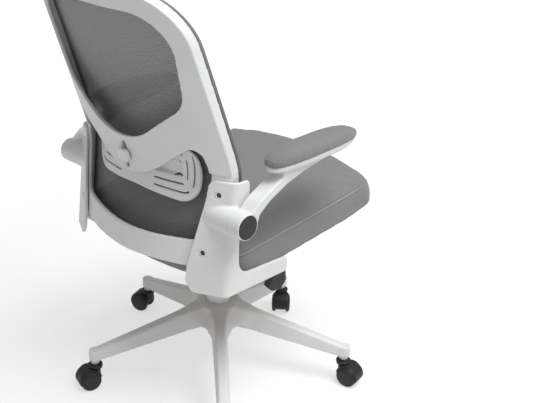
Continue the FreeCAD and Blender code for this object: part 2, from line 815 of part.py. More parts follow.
# Seat
SEAT_FRAME = Placement(Vector(0, 0, number("seat_plane")), Rotation(Vector(1, 0, 0), -number("seat_slope")))
SHAFT_ALONG = "-shaft_forward * cos(seat_slope) - (shaft_rise - seat_over_floor) * sin(seat_slope)"
SHAFT_BELOW = "-shaft_forward * sin(seat_slope) + (shaft_rise - seat_over_floor) * cos(seat_slope)"
SEAT_BOLTS = [(f"{side} * seat_bolt_spread", end) for side in (1, -1)
              for end in ("-seat_bolt_front", "seat_bolt_rear")]
FOOT_BOLTS = [(f"{side} * bracket_bolt_in", end) for side in (-1, 1)
              for end in ("bracket_bolt_front", "bracket_bolt_rear")]


def bow_radius(half, bow):
    return f"(({half}) ^ 2 + ({bow}) ^ 2) / (2 * ({bow}))"


def seat_outline(body, inset, lift):
    """Straight sides with a bowed front and rear, set in from the seat's edge."""
    half = f"seat_half_width - {inset}"
    front = f"-seat_front + {inset}"
    rear = f"seat_rear - {inset}"
    sketch = new_sketch(body, "XY_Plane", lift, ("0", "0"))
    a, f, r = number(half), number(front), number(rear)
    front_bow = number("seat_front_bow")
    rear_bow = number("seat_rear_bow")
    sketch.addGeometry(Part.LineSegment(Vector(a, f, 0), Vector(a, r, 0)), False)
    sketch.addGeometry(Part.Arc(Vector(a, r, 0), Vector(0, r + rear_bow, 0), Vector(-a, r, 0)), False)
    sketch.addGeometry(Part.LineSegment(Vector(-a, r, 0), Vector(-a, f, 0)), False)
    sketch.addGeometry(Part.Arc(Vector(-a, f, 0), Vector(0, f - front_bow, 0), Vector(a, f, 0)), False)
    for here, there in ((0, 1), (1, 2), (2, 3), (3, 0)):
        sketch.addConstraint(Sketcher.Constraint("Coincident", here, 2, there, 1))
    corners = [(half, front), (f"-({half})", rear)]
    for piece, (x, y) in zip((0, 2), corners):
        pin_point(sketch, piece, 1, x, y)
    for piece, (x, y) in zip((0, 2), [(half, rear), (f"-({half})", front)]):
        pin_point(sketch, piece, 2, x, y)
    for piece, bow in ((1, "seat_rear_bow"), (3, "seat_front_bow")):
        index = sketch.addConstraint(Sketcher.Constraint("Radius", piece, number(bow_radius(half, bow))))
        sketch.setExpression(f"Constraints[{index}]", bound(bow_radius(half, bow)))
    return sketch


def upright_at(test):
    """Chooses straight upright edges whose place in plan passes a test."""
    def chosen(edge):
        low, high = edge.Vertexes[0].Point, edge.Vertexes[-1].Point
        flat = Vector(high.x - low.x, high.y - low.y, 0).Length
        return flat < 1e-6 and abs(high.z - low.z) > 1 and test(low)
    return chosen


def round_seat_corners(body, inset):
    """Round the upright corners of an outline that is set in from the seat's edge."""
    side = number(f"seat_half_width - {inset}")

    def on_side(p):
        return abs(abs(p.x) - side) < 0.01

    round_edges(body, f"seat_front_corner - {inset}", upright_at(lambda p: p.y < 0 and on_side(p)))
    round_edges(body, f"seat_rear_corner - {inset}", upright_at(lambda p: p.y > 0 and on_side(p)))


def crown_cut(body):
    """Removes what is above an arc across the seat."""
    half, edge, crown = "seat_half_width", "seat_edge_height", "seat_crown"
    above = f"{edge} + 3 * {crown}"
    sketch = new_sketch(body, "XZ_Plane", "0", ("0", "0"))
    a, low, top = number(half), number(edge), number(above)
    corners = [Vector(a, low, 0), Vector(a, top, 0), Vector(-a, top, 0), Vector(-a, low, 0)]
    for here, there in zip(corners, corners[1:]):
        sketch.addGeometry(Part.LineSegment(here, there), False)
    arch = Part.Arc(corners[3], Vector(0, low + number(crown), 0), corners[0])
    sketch.addGeometry(arch, False)
    for here, end, there, start in ((0, 2, 1, 1), (1, 2, 2, 1), (2, 2, 3, 2), (3, 1, 0, 1)):
        sketch.addConstraint(Sketcher.Constraint("Coincident", here, end, there, start))
    pin_point(sketch, 0, 1, half, edge)
    pin_point(sketch, 1, 1, half, above)
    pin_point(sketch, 2, 1, f"-({half})", above)
    pin_point(sketch, 2, 2, f"-({half})", edge)
    index = sketch.addConstraint(Sketcher.Constraint("Radius", 3, number(bow_radius(half, crown))))
    sketch.setExpression(f"Constraints[{index}]", bound(bow_radius(half, crown)))
    feature(body, "Pocket", sketch, "4 * seat_half_width", both=True)


def seat_cushion():
    body = new_body("seat_cushion")
    feature(body, "Pad", seat_outline(body, "0", "cushion_lift"), "seat_edge_height + seat_crown")
    round_seat_corners(body, "0")
    crown_cut(body)
    low = number("seat_edge_height") - 0.01
    round_edges(body, "seat_top_round", lambda edge: min(v.Z for v in edge.Vertexes) > low)
    recess = "(board_inset - board_gap)"
    feature(body, "Pocket", seat_outline(body, recess, "0"), "board_thickness", reverse=True)
    round_seat_corners(body, recess)
    body.Placement = SEAT_FRAME


def seat_board():
    body = new_body("seat_board")
    feature(body, "Pad", seat_outline(body, "board_inset", "0"), "board_thickness")
    round_seat_corners(body, "board_inset")
    holes = circles(body, "XY_Plane", SEAT_BOLTS + FOOT_BOLTS, "bolt_radius")
    feature(body, "Pocket", holes, "bolt_bite", reverse=True)
    body.Placement = SEAT_FRAME


def seat_plate():
    """Steel plate under the seat, with two ears that turn on the tilt shaft."""
    body = new_body("seat_plate")
    flat = [("-plate_half_width", "-plate_front"), ("plate_half_width", "-plate_front"),
            ("plate_half_width", "plate_rear"), ("-plate_half_width", "plate_rear")]
    feature(body, "Pad", outline(body, "XY_Plane", flat, "-plate_thickness"), "plate_thickness")
    low = f"{SHAFT_BELOW} - ear_radius"
    ear = [(f"{SHAFT_ALONG} - ear_radius", low), (f"{SHAFT_ALONG} + ear_radius", low),
           (f"{SHAFT_ALONG} + 3 * ear_radius", "-plate_thickness"),
           (f"{SHAFT_ALONG} - ear_radius", "-plate_thickness")]
    feature(body, "Pad", outline(body, "YZ_Plane", ear), "2 * ear_outer", both=True)
    between = [(f"{SHAFT_ALONG} - 2 * ear_radius", f"{low} - free_gap"),
               (f"{SHAFT_ALONG} + 4 * ear_radius", f"{low} - free_gap"),
               (f"{SHAFT_ALONG} + 4 * ear_radius", "-plate_thickness"),
               (f"{SHAFT_ALONG} - 2 * ear_radius", "-plate_thickness")]
    feature(body, "Pocket", outline(body, "YZ_Plane", between), "2 * ear_inner", both=True)
    hole = circles(body, "YZ_Plane", [(SHAFT_ALONG, SHAFT_BELOW)], "shaft_radius + running_fit")
    feature(body, "Pocket", hole, "3 * ear_outer", both=True)
    holes = circles(body, "XY_Plane", SEAT_BOLTS, "bolt_radius")
    feature(body, "Pocket", holes, "2 * plate_thickness")
    body.Placement = SEAT_FRAME


def bolt_profile(grip):
    """A bolt whose head bears at height nought and whose shank points up."""
    return [("0", "-bolt_head_height"), ("bolt_head_radius", "-bolt_head_height"), ("bolt_head_radius", "0"),
            ("bolt_radius", "0"), ("bolt_radius", grip), ("0", grip)]


def seat_bolts():
    master = master_screw("seat_bolt", bolt_profile("plate_thickness + bolt_bite"))
    places = []
    for x, y in SEAT_BOLTS:
        spot = Placement(Vector(number(x), number(y), -number("plate_thickness")), Rotation())
        places.append(SEAT_FRAME.multiply(spot))
    copies("seat_bolts", master, places)


seat_cushion()
seat_board()
seat_plate()
seat_bolts()


# Side brackets
PLATE_NORMAL = Vector(-number("bracket_plan_slope"), 1, number("back_lower_lean")).normalize()


def bracket_surface(x, z, depth):
    """Y of the rear plate on the right side, a depth inside its outer face."""
    slope, lean = number("bracket_plan_slope"), number("back_lower_lean")
    start = number("bracket_corner_back") + slope * (x + number("bracket_half_width"))
    inside = depth * math.sqrt(1 + slope * slope)
    return start - lean * (z - number("bracket_low")) - inside


def leaning_prism(corners, low, high):
    """A plan outline carried up along the lean of the lower back."""
    face = Part.Face(rounded_wire(corners, lambda p: Vector(p.x, p.y, low)))
    rise = high - low
    return face.extrude(Vector(0, -number("back_lower_lean") * rise, rise))


def bracket_strip(inner_x):
    """The folded wall: along the side of the seat, then across behind the back."""
    low, high = number("bracket_low"), number("bracket_top")
    half, wall = number("bracket_half_width"), number("bracket_wall")
    radius = number("bracket_corner_radius")
    front = number("bracket_front") - number("back_lower_lean")
    corners = [(-half, front, 0), (-half, bracket_surface(-half, low, 0), radius),
               (inner_x, bracket_surface(inner_x, low, 0), 0),
               (inner_x, bracket_surface(inner_x, low, wall), 0),
               (-half + wall, bracket_surface(-half + wall, low, wall), radius - wall),
               (-half + wall, front, 0)]
    strip = leaning_prism(corners, low, high)
    inner = [(-half + wall, front, 0),
             (-half + wall, bracket_surface(-half + wall, low, wall), radius - wall),
             (0, bracket_surface(0, low, wall), 0), (0, front, 0)]
    return strip, leaning_prism(inner, low, high)


def side_face_corners():
    """Side view of the bracket: bar under the seat, upright and top."""
    low, high = number("bracket_low"), number("bracket_top")
    front, upright = number("bracket_front"), number("bracket_upright_front")
    bar = low + number("bracket_bar_height")
    top_front = number("bracket_top_front")
    behind = number("bracket_corner_back") + number("bracket_half_width")
    return [(front, low, 8), (front, bar - 1, 10), (upright, bar + 4, 34), (upright, bar + 90, 120),
            (top_front, high - 30, 60), (top_front, high, 8), (behind, high, 0), (behind, low, 0)]


def rear_face_corners():
    """Rear view of the bracket's inner edge, from the top down."""
    low, high = number("bracket_low"), number("bracket_top")
    half = number("bracket_half_width")
    inset = half - number("boss_root")
    edge = -half + inset
    return [(-half - 20, high, 0), (edge - 3, high, 14), (edge, high - 38, 120), (edge + 26, low + 55, 90),
            (edge + 26, low + 20, 30), (edge + 12, low, 14), (-half - 20, low, 0)]


def bracket_solid():
    """The right bracket, without its screw holes."""
    low, high = number("bracket_low"), number("bracket_top")
    half, wall = number("bracket_half_width"), number("bracket_wall")
    strip, inner = bracket_strip(-number("boss_root") + 60)
    behind = number("bracket_corner_back") + half
    strip = strip.common(prism_x(side_face_corners(), -half - 20, 0))
    strip = strip.common(prism_y(rear_face_corners(), 0, behind))
    boss = Part.makeCylinder(number("boss_radius"), number("boss_face - boss_root"),
                             Vector(-number("boss_face"), number("pivot_back"), number("pivot_level")),
                             Vector(1, 0, 0))
    boss = boss.cut(inner)
    slope = math.tan(math.radians(number("seat_slope")))
    plane = number("seat_plane")
    front, rear = number("bracket_foot_front"), number("bracket_foot_rear")
    foot = prism_x([(front, low, 6), (rear, low, 0), (rear, plane - slope * rear, 0),
                    (front, plane - slope * front, 0)],
                   -half + wall / 2, -half + wall + number("bracket_foot_width"))
    return strip.fuse([boss, foot]).removeSplitter()


def back_screw_spots():
    """Points on the outer face of the right bracket where its screws sit."""
    low = number("bracket_low")
    spots = []
    for name in ("upper", "lower"):
        x = -number(f"bracket_half_width - {name}_screw_inset")
        level = low + number(f"{name}_screw_rise")
        spots.append(Vector(x, bracket_surface(x, level, 0), level))
    return spots


def foot_bolt_place(x, y):
    """Where the head of a foot bolt bears, square to the seat."""
    spot = Vector(number(x), number(y), -number("foot_bolt_grip"))
    return SEAT_FRAME.multiply(Placement(spot, Rotation()))


def brackets():
    solid = bracket_solid()
    pin = Part.makeCylinder(number("pin_radius"), number("pin_bite"),
                            Vector(-number("boss_face"), number("pivot_back"), number("pivot_level")),
                            Vector(1, 0, 0))
    cuts = [pin]
    for spot in back_screw_spots():
        head = number("back_screw_head_height + back_screw_recess")
        cuts.append(Part.makeCylinder(number("back_screw_head_radius + free_gap"), 2 * head,
                                      spot - PLATE_NORMAL * head, PLATE_NORMAL))
        cuts.append(Part.makeCylinder(number("back_screw_radius"), 3 * number("bracket_wall"),
                                      spot - PLATE_NORMAL * 2 * number("bracket_wall"), PLATE_NORMAL))
    for x, y in FOOT_BOLTS[:2]:
        place = foot_bolt_place(x, y)
        for radius, low, high in (("bolt_radius", "0", "2 * foot_bolt_grip"),
                                  ("bolt_head_radius + free_gap", "-bracket_drop", "0")):
            hole = Part.makeCylinder(number(radius), number(f"{high} - ({low})"), Vector(0, 0, number(low)))
            hole.Placement = place.multiply(hole.Placement)
            cuts.append(hole)
    solid = solid.cut(cuts)
    shaped("bracket_right", solid)
    shaped("bracket_left", solid.mirror(Vector(), Vector(1, 0, 0)))


brackets()


def bracket_fasteners():
    """Foot bolts, back screws and arm pivot pins of both brackets."""
    bolt = master_screw("foot_bolt", bolt_profile("foot_bolt_grip + bolt_bite"))
    copies("bracket_bolts", bolt, [foot_bolt_place(x, y) for x, y in FOOT_BOLTS])

    screw = master_screw("back_screw", [
        ("0", "0"), ("back_screw_head_radius", "0"), ("back_screw_head_radius", "back_screw_head_height"),
        ("back_screw_radius", "back_screw_head_height"), ("back_screw_radius", "back_screw_length"),
        ("0", "back_screw_length")])
    places = []
    for spot in back_screw_spots():
        for side in (1, -1):
            inward = Vector(-side * PLATE_NORMAL.x, -PLATE_NORMAL.y, -PLATE_NORMAL.z)
            face = Vector(side * spot.x, spot.y, spot.z)
            places.append(along(face + inward * number("back_screw_recess"), inward))
    copies("back_screws", screw, places)

    pin = master_screw("pivot_pin", [
        ("0", "boss_face - pin_bite"), ("pin_radius", "boss_face - pin_bite"),
        ("pin_radius", "pin_head_face"),
        ("pin_head_radius", "pin_head_face"), ("pin_head_radius", "pin_head_face + pin_head_height"),
        ("0", "pin_head_face + pin_head_height")])
    axis = Vector(0, number("pivot_back"), number("pivot_level"))
    copies("arm_pivot_pins", pin, [along(axis, Vector(-1, 0, 0)), along(axis, Vector(1, 0, 0))])


bracket_fasteners()


# Back
def back_center(z):
    """Y of the rear face of the back on the middle line: two straight leans with an arc between."""
    rise = z - number("seat_plane + lumbar_height")
    low, up = number("back_lower_lean"), number("back_upper_lean")
    blend = number("lumbar_blend")
    base = number("lumbar_back")
    if rise <= -blend:
        return base - low * rise
    if rise >= blend:
        return base + up * rise
    return base + low * blend - low * (rise + blend) + (low + up) * (rise + blend) ** 2 / (4 * blend)


def bow(x, radius):
    """How far an arc falls away from its middle."""
    return radius - math.sqrt(radius * radius - x * x)


def slab_heights():
    """Levels of the sections: close together where the back bends, wide apart where it is straight."""
    low = number("seat_plane + back_bottom - 30")
    high = number("seat_plane + back_top + 20")
    bend = number("seat_plane + lumbar_height")
    blend = number("lumbar_blend")
    curved = [bend + blend * step / 3 for step in range(-3, 4)]
    upper = [bend + blend + (high - bend - blend) * step / 4 for step in range(1, 5)]
    return [low, (low + bend - blend) / 2] + curved + upper


def back_section(z, rear_offset, middle_depth, edge_depth):
    """A curved strip across the back at one height, from its rear face forwards."""
    span = number("back_half_width + 8")
    radius = number("back_curve_radius")
    rear = back_center(z) - rear_offset
    fall = bow(span, radius)
    points = [Vector(-span, rear - fall, z), Vector(0, rear, z), Vector(span, rear - fall, z),
              Vector(span, rear - fall - edge_depth, z), Vector(0, rear - middle_depth, z),
              Vector(-span, rear - fall - edge_depth, z)]
    return Part.Wire([
        Part.Arc(points[0], points[1], points[2]).toShape(),
        Part.LineSegment(points[2], points[3]).toShape(),
        Part.Arc(points[3], points[4], points[5]).toShape(),
        Part.LineSegment(points[5], points[0]).toShape()])


def back_slab(rear_offset, depths):
    """A solid that follows the back; depths gives its thickness in the middle and at the edge."""
    wires = [back_section(z, rear_offset, *depths(z)) for z in slab_heights()]
    return Part.makeLoft(wires, True, True)


def hollow_depth(z):
    """Depth from the rear face to the mesh, on the middle line and at the edge."""
    low, high = number("seat_plane + back_bottom"), number("seat_plane + back_top")
    middle = (low + high) / 2
    part = min(1, abs(z - middle) / (high - middle))
    deep, shallow = number("mesh_hollow"), number("mesh_hollow_end")
    return deep - (deep - shallow) * part * part, number("rim_depth")


def back_outline(inset):
    """Outline of the back, seen from behind."""
    plane = number("seat_plane")
    half = number("back_half_width") - inset
    top, low = plane + number("back_top") - inset, plane + number("back_bottom") + inset
    corner, foot = number("back_top_corner") - inset, number("back_bottom_corner") - inset
    return mirrored([
        (0, top, 600), (half - number("back_top_taper"), top - 16, corner), (half, plane + 240, 500),
        (half - 20, low + 10, foot), (0, low, 900)])


def upper_opening():
    plane = number("seat_plane")
    half = number("upper_opening_half")
    top = plane + number("back_top")
    low = plane + number("band_low") + number("band_rise")
    side = low + number("band_slope") * (half - 12)
    return mirrored([(0, top - 40, 600), (half + 3, top - 54, 78), (half - 12, side, 62), (0, low, 150)])


def lower_opening():
    plane = number("seat_plane")
    half = number("back_half_width - side_post_width")
    peak = plane + number("band_low") + number("band_slope") * (half - 8)
    low = plane + number("crossbar_top")
    knee = peak - number("post_knee_drop")
    return mirrored([(0, plane + number("band_low"), 150), (half - 8, peak, 20), (half + 2, knee, 200),
                     (half - 14, low + 16, 24), (0, low, 900)])


def bracket_seat_cut():
    """Block behind the right bracket's inner face, so that the frame lies flat on it."""
    low, high = number("bracket_low - 40"), number("bracket_top + 12")
    wall = number("bracket_wall")
    outer, inner = -number("bracket_half_width") - 40, -number("boss_root") + 30
    behind = number("lumbar_back")
    corners = [(outer, bracket_surface(outer, low, wall), 0), (inner, bracket_surface(inner, low, wall), 0),
               (inner, bracket_surface(inner, low, wall) + behind, 0),
               (outer, bracket_surface(outer, low, wall) + behind, 0)]
    return leaning_prism(corners, low, high)


def grip_cut():
    """Slot in the band for the stud of the lumbar support."""
    half = number("stud_half_width + free_gap")
    middle = number("seat_plane + lumbar_slot_height")
    reach = number("stud_height / 2 + lumbar_travel + slot_margin")
    return prism_y([(-half, middle - reach, 3), (half, middle - reach, 3), (half, middle + reach, 3),
                    (-half, middle + reach, 3)], 0, 2 * number("lumbar_back"))


def back_frame():
    reach = (0, 2 * number("lumbar_back"))
    panel = back_slab(0, lambda z: (number("frame_wall"), number("frame_wall")))
    panel = panel.common(prism_y(back_outline(0), *reach))
    panel = panel.cut([prism_y(upper_opening(), *reach), prism_y(lower_opening(), *reach), grip_cut()])
    rim = back_slab(0, hollow_depth)
    rim = rim.common(prism_y(back_outline(0), *reach))
    rim = rim.cut(prism_y(back_outline(number("rim_wall")), *reach))
    frame = panel.fuse(rim)
    seat_right = bracket_seat_cut()
    cuts = [seat_right, seat_right.mirror(Vector(), Vector(1, 0, 0))]
    for spot in back_screw_spots():
        for side in (1, -1):
            inward = Vector(-side * PLATE_NORMAL.x, -PLATE_NORMAL.y, -PLATE_NORMAL.z)
            start = Vector(side * spot.x, spot.y, spot.z)
            deep = number("back_screw_length + back_screw_recess")
            hole = Part.makeCylinder(number("back_screw_radius"), deep, start, inward)
            cuts.append(hole)
    shaped("back_frame", frame.cut(cuts).removeSplitter())


def back_mesh():
    def skin(z):
        middle, edge = hollow_depth(z)
        return middle + number("mesh_thickness"), edge + number("mesh_edge_thickness")
    slab = back_slab(0, skin).cut(back_slab(0, hollow_depth))
    reach = (0, 2 * number("lumbar_back"))
    shaped("back_mesh", slab.common(prism_y(back_outline(0), *reach)))


back_frame()
back_mesh()


# Lumbar support
def slot(points):
    """A narrow rounded cut along a straight line between two points in X and Z."""
    start, end = Vector(*points[0], 0), Vector(*points[1], 0)
    half = number("slot_width") / 2
    ahead = (end - start).normalize()
    side = Vector(-ahead.y, ahead.x, 0) * half
    a, b, c, d = start + side, end + side, end - side, start - side
    corners = [(p.x, p.y, half * 0.98) for p in (a, b, c, d)]
    return prism_y(corners, 0, 2 * number("lumbar_back"))


def pad_slots():
    """Two nested rows of slots towards each end of the pad."""
    half = number("pad_half_width")
    low = number("seat_plane + pad_low")
    high = number("seat_plane + pad_high")
    cuts = []
    for inset in (16, 32):
        edge = half - inset
        lines = [((edge, low + inset + 14), (edge - 2, high - inset - 12)),
                 ((edge - 18, low + inset), (60, low + inset - 4)),
                 ((edge - 16, high - inset), (edge - 40, high - inset - 8))]
        for (xa, za), (xb, zb) in lines:
            cuts.append(slot([(xa, za), (xb, zb)]))
            cuts.append(slot([(-xa, za), (-xb, zb)]))
    return cuts


def lumbar_pad():
    low, high = number("seat_plane + pad_low"), number("seat_plane + pad_high")
    half, waist = number("pad_half_width"), number("pad_waist")
    corners = mirrored([(0, high - 2 * waist, 200), (half - 6, high, 34), (half, (low + high) / 2, 200),
                        (half - 6, low, 40), (0, low + waist, 300)])
    thick = number("pad_thickness")
    slab = back_slab(number("pad_offset"), lambda z: (thick, thick))
    reach = (0, 2 * number("lumbar_back"))
    shaped("lumbar_pad", slab.common(prism_y(corners, *reach)).cut(pad_slots()))


def upright_box(half, low, high, tall):
    """A block centred in X and Z that reaches from low to high in Y."""
    return Part.makeBox(2 * half, high - low, tall, Vector(-half, low, -tall / 2))


def lumbar_holder():
    """Block behind the pad with a stud through the band, and the grip behind the band."""
    middle = number("seat_plane + lumbar_slot_height")
    lean = Rotation(Vector(1, 0, 0), -number("lumbar_slide_lean"))
    place = Placement(Vector(0, back_center(middle), middle), lean)
    wall, gap = number("frame_wall"), number("holder_gap")
    deep = number("pad_offset")
    block = upright_box(number("carrier_half_width"), -2 * deep, -wall - gap, number("carrier_height"))
    stud = upright_box(number("stud_half_width"), -wall - gap, gap, number("stud_height"))
    holder = block.fuse(stud).removeSplitter()
    holder.Placement = place
    thick = number("pad_thickness")
    pad = back_slab(deep, lambda z: (thick + 2 * deep, thick + 2 * deep))
    shaped("lumbar_carrier", holder.cut(pad))
    tall = number("grip_height")
    grip = upright_box(number("grip_half_width"), gap, gap + number("grip_thickness"), tall)
    through = [edge for edge in grip.Edges if abs(edge.Vertexes[0].Y - edge.Vertexes[1].Y) > 1]
    shaped("lumbar_grip", grip.makeFillet(tall / 4, through), place)


lumbar_pad()
lumbar_holder()


# Armrests
def armrest(side, sign):
    """Arm with its hub, pad, cap and screws; sign is the side along X."""
    arm = new_body(f"arm_{side}")
    hub = [("pivot_back", "pivot_level")]
    feature(arm, "Pad", circles(arm, "YZ_Plane", hub, "boss_radius"), "arm_width", both=True)
    strut = [("pivot_back - 23", "pivot_level - 10"), ("pivot_back - 32", "pivot_level + 17"),
             ("pivot_back - 60", "pivot_level + 38"), ("pivot_back - 109", "pivot_level + 61"),
             ("pivot_back - 160", "pivot_level + 76"), ("pivot_back - 226", "pivot_level + 88"),
             ("pivot_back - 279", "armpad_level - shell_thickness"),
             ("pivot_back - 279", "armpad_level - shell_thickness / 2"),
             ("pivot_back - 92", "armpad_level - shell_thickness / 2"),
             ("pivot_back - 98", "pivot_level + 78"),
             ("pivot_back - 62", "pivot_level + 61"), ("pivot_back - 30", "pivot_level + 44"),
             ("pivot_back - 8", "pivot_level + 25"), ("pivot_back", "pivot_level")]
    feature(arm, "Pad", outline(arm, "YZ_Plane", strut), "arm_width", both=True)
    rear, front = "armpad_back + armpad_length / 2 - shell_end", "armpad_back - armpad_length / 2 + shell_end"
    shell_low = "armpad_level - shell_thickness"
    shell = [(rear, "armpad_level"), (f"{rear} - shell_thickness", shell_low),
             (f"{front} + 2 * shell_thickness", shell_low), (front, "armpad_level")]
    shift = f"{sign} * (pad_center - arm_center)"
    feature(arm, "Pad", outline(arm, "YZ_Plane", shell, shift), "armpad_width - 2 * shell_inset", both=True)
    screws = [(shift, f"armpad_back + {end} * arm_screw_spacing / 2") for end in (1, -1)]
    hole = circles(arm, "XY_Plane", screws, "arm_screw_radius", "armpad_level")
    feature(arm, "Pocket", hole, "2 * shell_thickness")
    well = circles(arm, "XY_Plane", screws, "arm_screw_head_radius + free_gap", shell_low)
    feature(arm, "Pocket", well, "armpad_level - pivot_level")
    bore = circles(arm, "YZ_Plane", hub, "pin_radius + running_fit")
    feature(arm, "Pocket", bore, "2 * arm_width", both=True)
    outer = f"{sign} * arm_width / 2"
    for radius, depth in (("cap_radius + free_gap / 4", "cap_thickness"),
                          ("cap_radius - cap_ledge", "cap_recess + pin_head_height")):
        feature(arm, "Pocket", circles(arm, "YZ_Plane", hub, radius, outer), depth, reverse=sign < 0)
    across = number("arm_center")
    arm.Placement = Placement(Vector(sign * across, 0, 0), Rotation())

    cap = turned(f"arm_cap_{side}", [("0", "hub_outer_face - cap_thickness"),
                                     ("cap_radius", "hub_outer_face - cap_thickness"),
                                     ("cap_radius", "hub_outer_face - cap_edge"),
                                     ("cap_radius - cap_edge", "hub_outer_face"),
                                     ("0", "hub_outer_face")])
    cap.Placement = along(Vector(0, number("pivot_back"), number("pivot_level")), Vector(sign, 0, 0))

    pad = new_body(f"arm_pad_{side}")
    half, end = "armpad_width / 2", "armpad_length / 2"
    plan = [(f"{half} - armpad_end_taper", f"-{end}"), (half, "0"), (f"{half} - armpad_end_taper", end),
            (f"armpad_end_taper - {half}", end), (f"-{half}", "0"), (f"armpad_end_taper - {half}", f"-{end}")]
    feature(pad, "Pad", outline(pad, "XY_Plane", plan), "armpad_height")
    limit = number(end) - 1
    round_edges(pad, f"{half} - armpad_end_taper - 1", upright_at(lambda p: abs(p.y) > limit))
    height = number("armpad_height") - 0.01
    round_edges(pad, "armpad_crown", lambda edge: min(v.Z for v in edge.Vertexes) > height)
    holes = circles(pad, "XY_Plane", [("0", "arm_screw_spacing / 2"), ("0", "-arm_screw_spacing / 2")],
                    "arm_screw_radius")
    feature(pad, "Pocket", holes, "arm_screw_bite", reverse=True)
    middle = Vector(sign * number("pad_center"), number("armpad_back"), number("armpad_level"))
    pad.Placement = Placement(middle, Rotation())
    return middle


def arm_screws(side, middle, master):
    """Screws up through the shell into the pad."""
    half = number("arm_screw_spacing") / 2
    low = Vector(0, 0, -number("shell_thickness"))
    places = [Placement(middle + low + Vector(0, y, 0), Rotation()) for y in (half, -half)]
    copies(f"arm_screws_{side}", master, places)


def arm_screw_master():
    grip = "shell_thickness + arm_screw_bite"
    return master_screw("arm_screw", [
        ("0", "-arm_screw_head_height"), ("arm_screw_head_radius", "-arm_screw_head_height"),
        ("arm_screw_head_radius", "0"), ("arm_screw_radius", "0"), ("arm_screw_radius", grip), ("0", grip)])


screw = arm_screw_master()
for side, sign in (("right", -1), ("left", 1)):
    arm_screws(side, armrest(side, sign), screw)


# Checks and export
doc.recompute()
for thing in doc.Objects:
    if "Invalid" in thing.State or "Error" in thing.State:
        raise RuntimeError(f"{thing.Label} is {thing.State}")
for node in NODES:
    if node.Shape.isNull() or not node.Shape.isValid():
        raise RuntimeError(f"{node.Label} has no valid shape")
for node in NODES:
    node.Shape.exportStep(f"parts/{node.Label}.step")
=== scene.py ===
import json
import math

import bpy
import numpy as np
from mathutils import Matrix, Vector
from mathutils.bvhtree import BVHTree
from mathutils.geometry import delaunay_2d_cdt

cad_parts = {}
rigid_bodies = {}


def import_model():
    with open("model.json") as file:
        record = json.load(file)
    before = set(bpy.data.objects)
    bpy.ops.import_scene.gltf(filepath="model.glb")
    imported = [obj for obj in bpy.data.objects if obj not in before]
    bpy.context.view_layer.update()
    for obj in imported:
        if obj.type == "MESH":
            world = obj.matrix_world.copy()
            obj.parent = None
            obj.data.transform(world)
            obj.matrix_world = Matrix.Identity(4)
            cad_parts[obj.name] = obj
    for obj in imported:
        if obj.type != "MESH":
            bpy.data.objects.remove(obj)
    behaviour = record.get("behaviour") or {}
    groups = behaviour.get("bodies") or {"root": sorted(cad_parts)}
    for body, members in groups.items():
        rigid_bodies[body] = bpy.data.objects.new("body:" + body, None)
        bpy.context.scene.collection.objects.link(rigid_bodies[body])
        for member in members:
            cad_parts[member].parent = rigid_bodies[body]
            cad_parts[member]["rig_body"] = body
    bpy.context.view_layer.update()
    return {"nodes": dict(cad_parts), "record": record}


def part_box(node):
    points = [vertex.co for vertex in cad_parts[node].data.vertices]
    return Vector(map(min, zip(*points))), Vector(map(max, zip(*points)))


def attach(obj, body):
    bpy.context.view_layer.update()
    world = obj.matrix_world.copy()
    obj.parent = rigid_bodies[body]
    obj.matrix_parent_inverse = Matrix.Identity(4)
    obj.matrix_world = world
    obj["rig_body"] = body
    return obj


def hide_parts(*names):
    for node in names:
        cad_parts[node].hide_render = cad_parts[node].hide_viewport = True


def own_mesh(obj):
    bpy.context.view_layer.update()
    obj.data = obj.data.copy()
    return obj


# Office chair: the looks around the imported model, in metres.
# The sitter faces -Y, +Z is up and the origin is on the floor under the column.

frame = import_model()
scene = bpy.context.scene
NODES = frame["nodes"]
SLOT_OF = {part["node"]: part["material_slot"] for part in frame["record"]["subparts"]}
BODY_OF = {node: thing["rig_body"] for node, thing in NODES.items()}
SIDES = ("right", "left")


# Mesh helpers
STEP_IN, STEP_OUT, SETTLE_ROUNDS = 0.5, 0.52, 10
OCTREE_FILL, WELD_GAP = 0.95, 1e-5
# A direction that no path of a tube starts along
ASKEW = (0.3, 0.5, 0.81)


def new_piece(name, points, faces):
    """A mesh object from points and faces."""
    mesh = bpy.data.meshes.new(name)
    mesh.from_pydata([tuple(p) for p in points], [], [tuple(f) for f in faces])
    mesh.validate()
    mesh.update()
    mesh.shade_smooth()
    return linked(name, mesh)


def linked(name, data):
    """An object in the scene, from its data."""
    thing = bpy.data.objects.new(name, data)
    scene.collection.objects.link(thing)
    return thing


def read_array(items, key, width, kind):
    """One value of width numbers from each point or edge of a mesh."""
    flat = np.empty(len(items) * width, dtype=kind)
    items.foreach_get(key, flat)
    return flat.reshape(-1, width)


def read_points(mesh):
    return read_array(mesh.vertices, "co", 3, np.float32).astype(float)


def point_normals(mesh):
    return read_array(mesh.vertices, "normal", 3, np.float32).astype(float)


def mesh_edges(mesh):
    return read_array(mesh.edges, "vertices", 2, np.int32)


def mesh_faces(mesh):
    return [tuple(face.vertices) for face in mesh.polygons]


def write_points(mesh, points):
    """Move the points of a mesh."""
    mesh.vertices.foreach_set("co", points.astype(np.float32).ravel())
    mesh.update()


def neighbour_mean(points, edges):
    """For each point, the mean of the points that it shares an edge with."""
    ends = np.concatenate([edges[:, 0], edges[:, 1]])
    others = np.concatenate([edges[:, 1], edges[:, 0]])
    count = np.maximum(np.bincount(ends, minlength=len(points)), 1)
    total = [np.bincount(ends, points[others, axis], minlength=len(points)) for axis in range(3)]
    return np.stack(total, axis=1) / count[:, None]


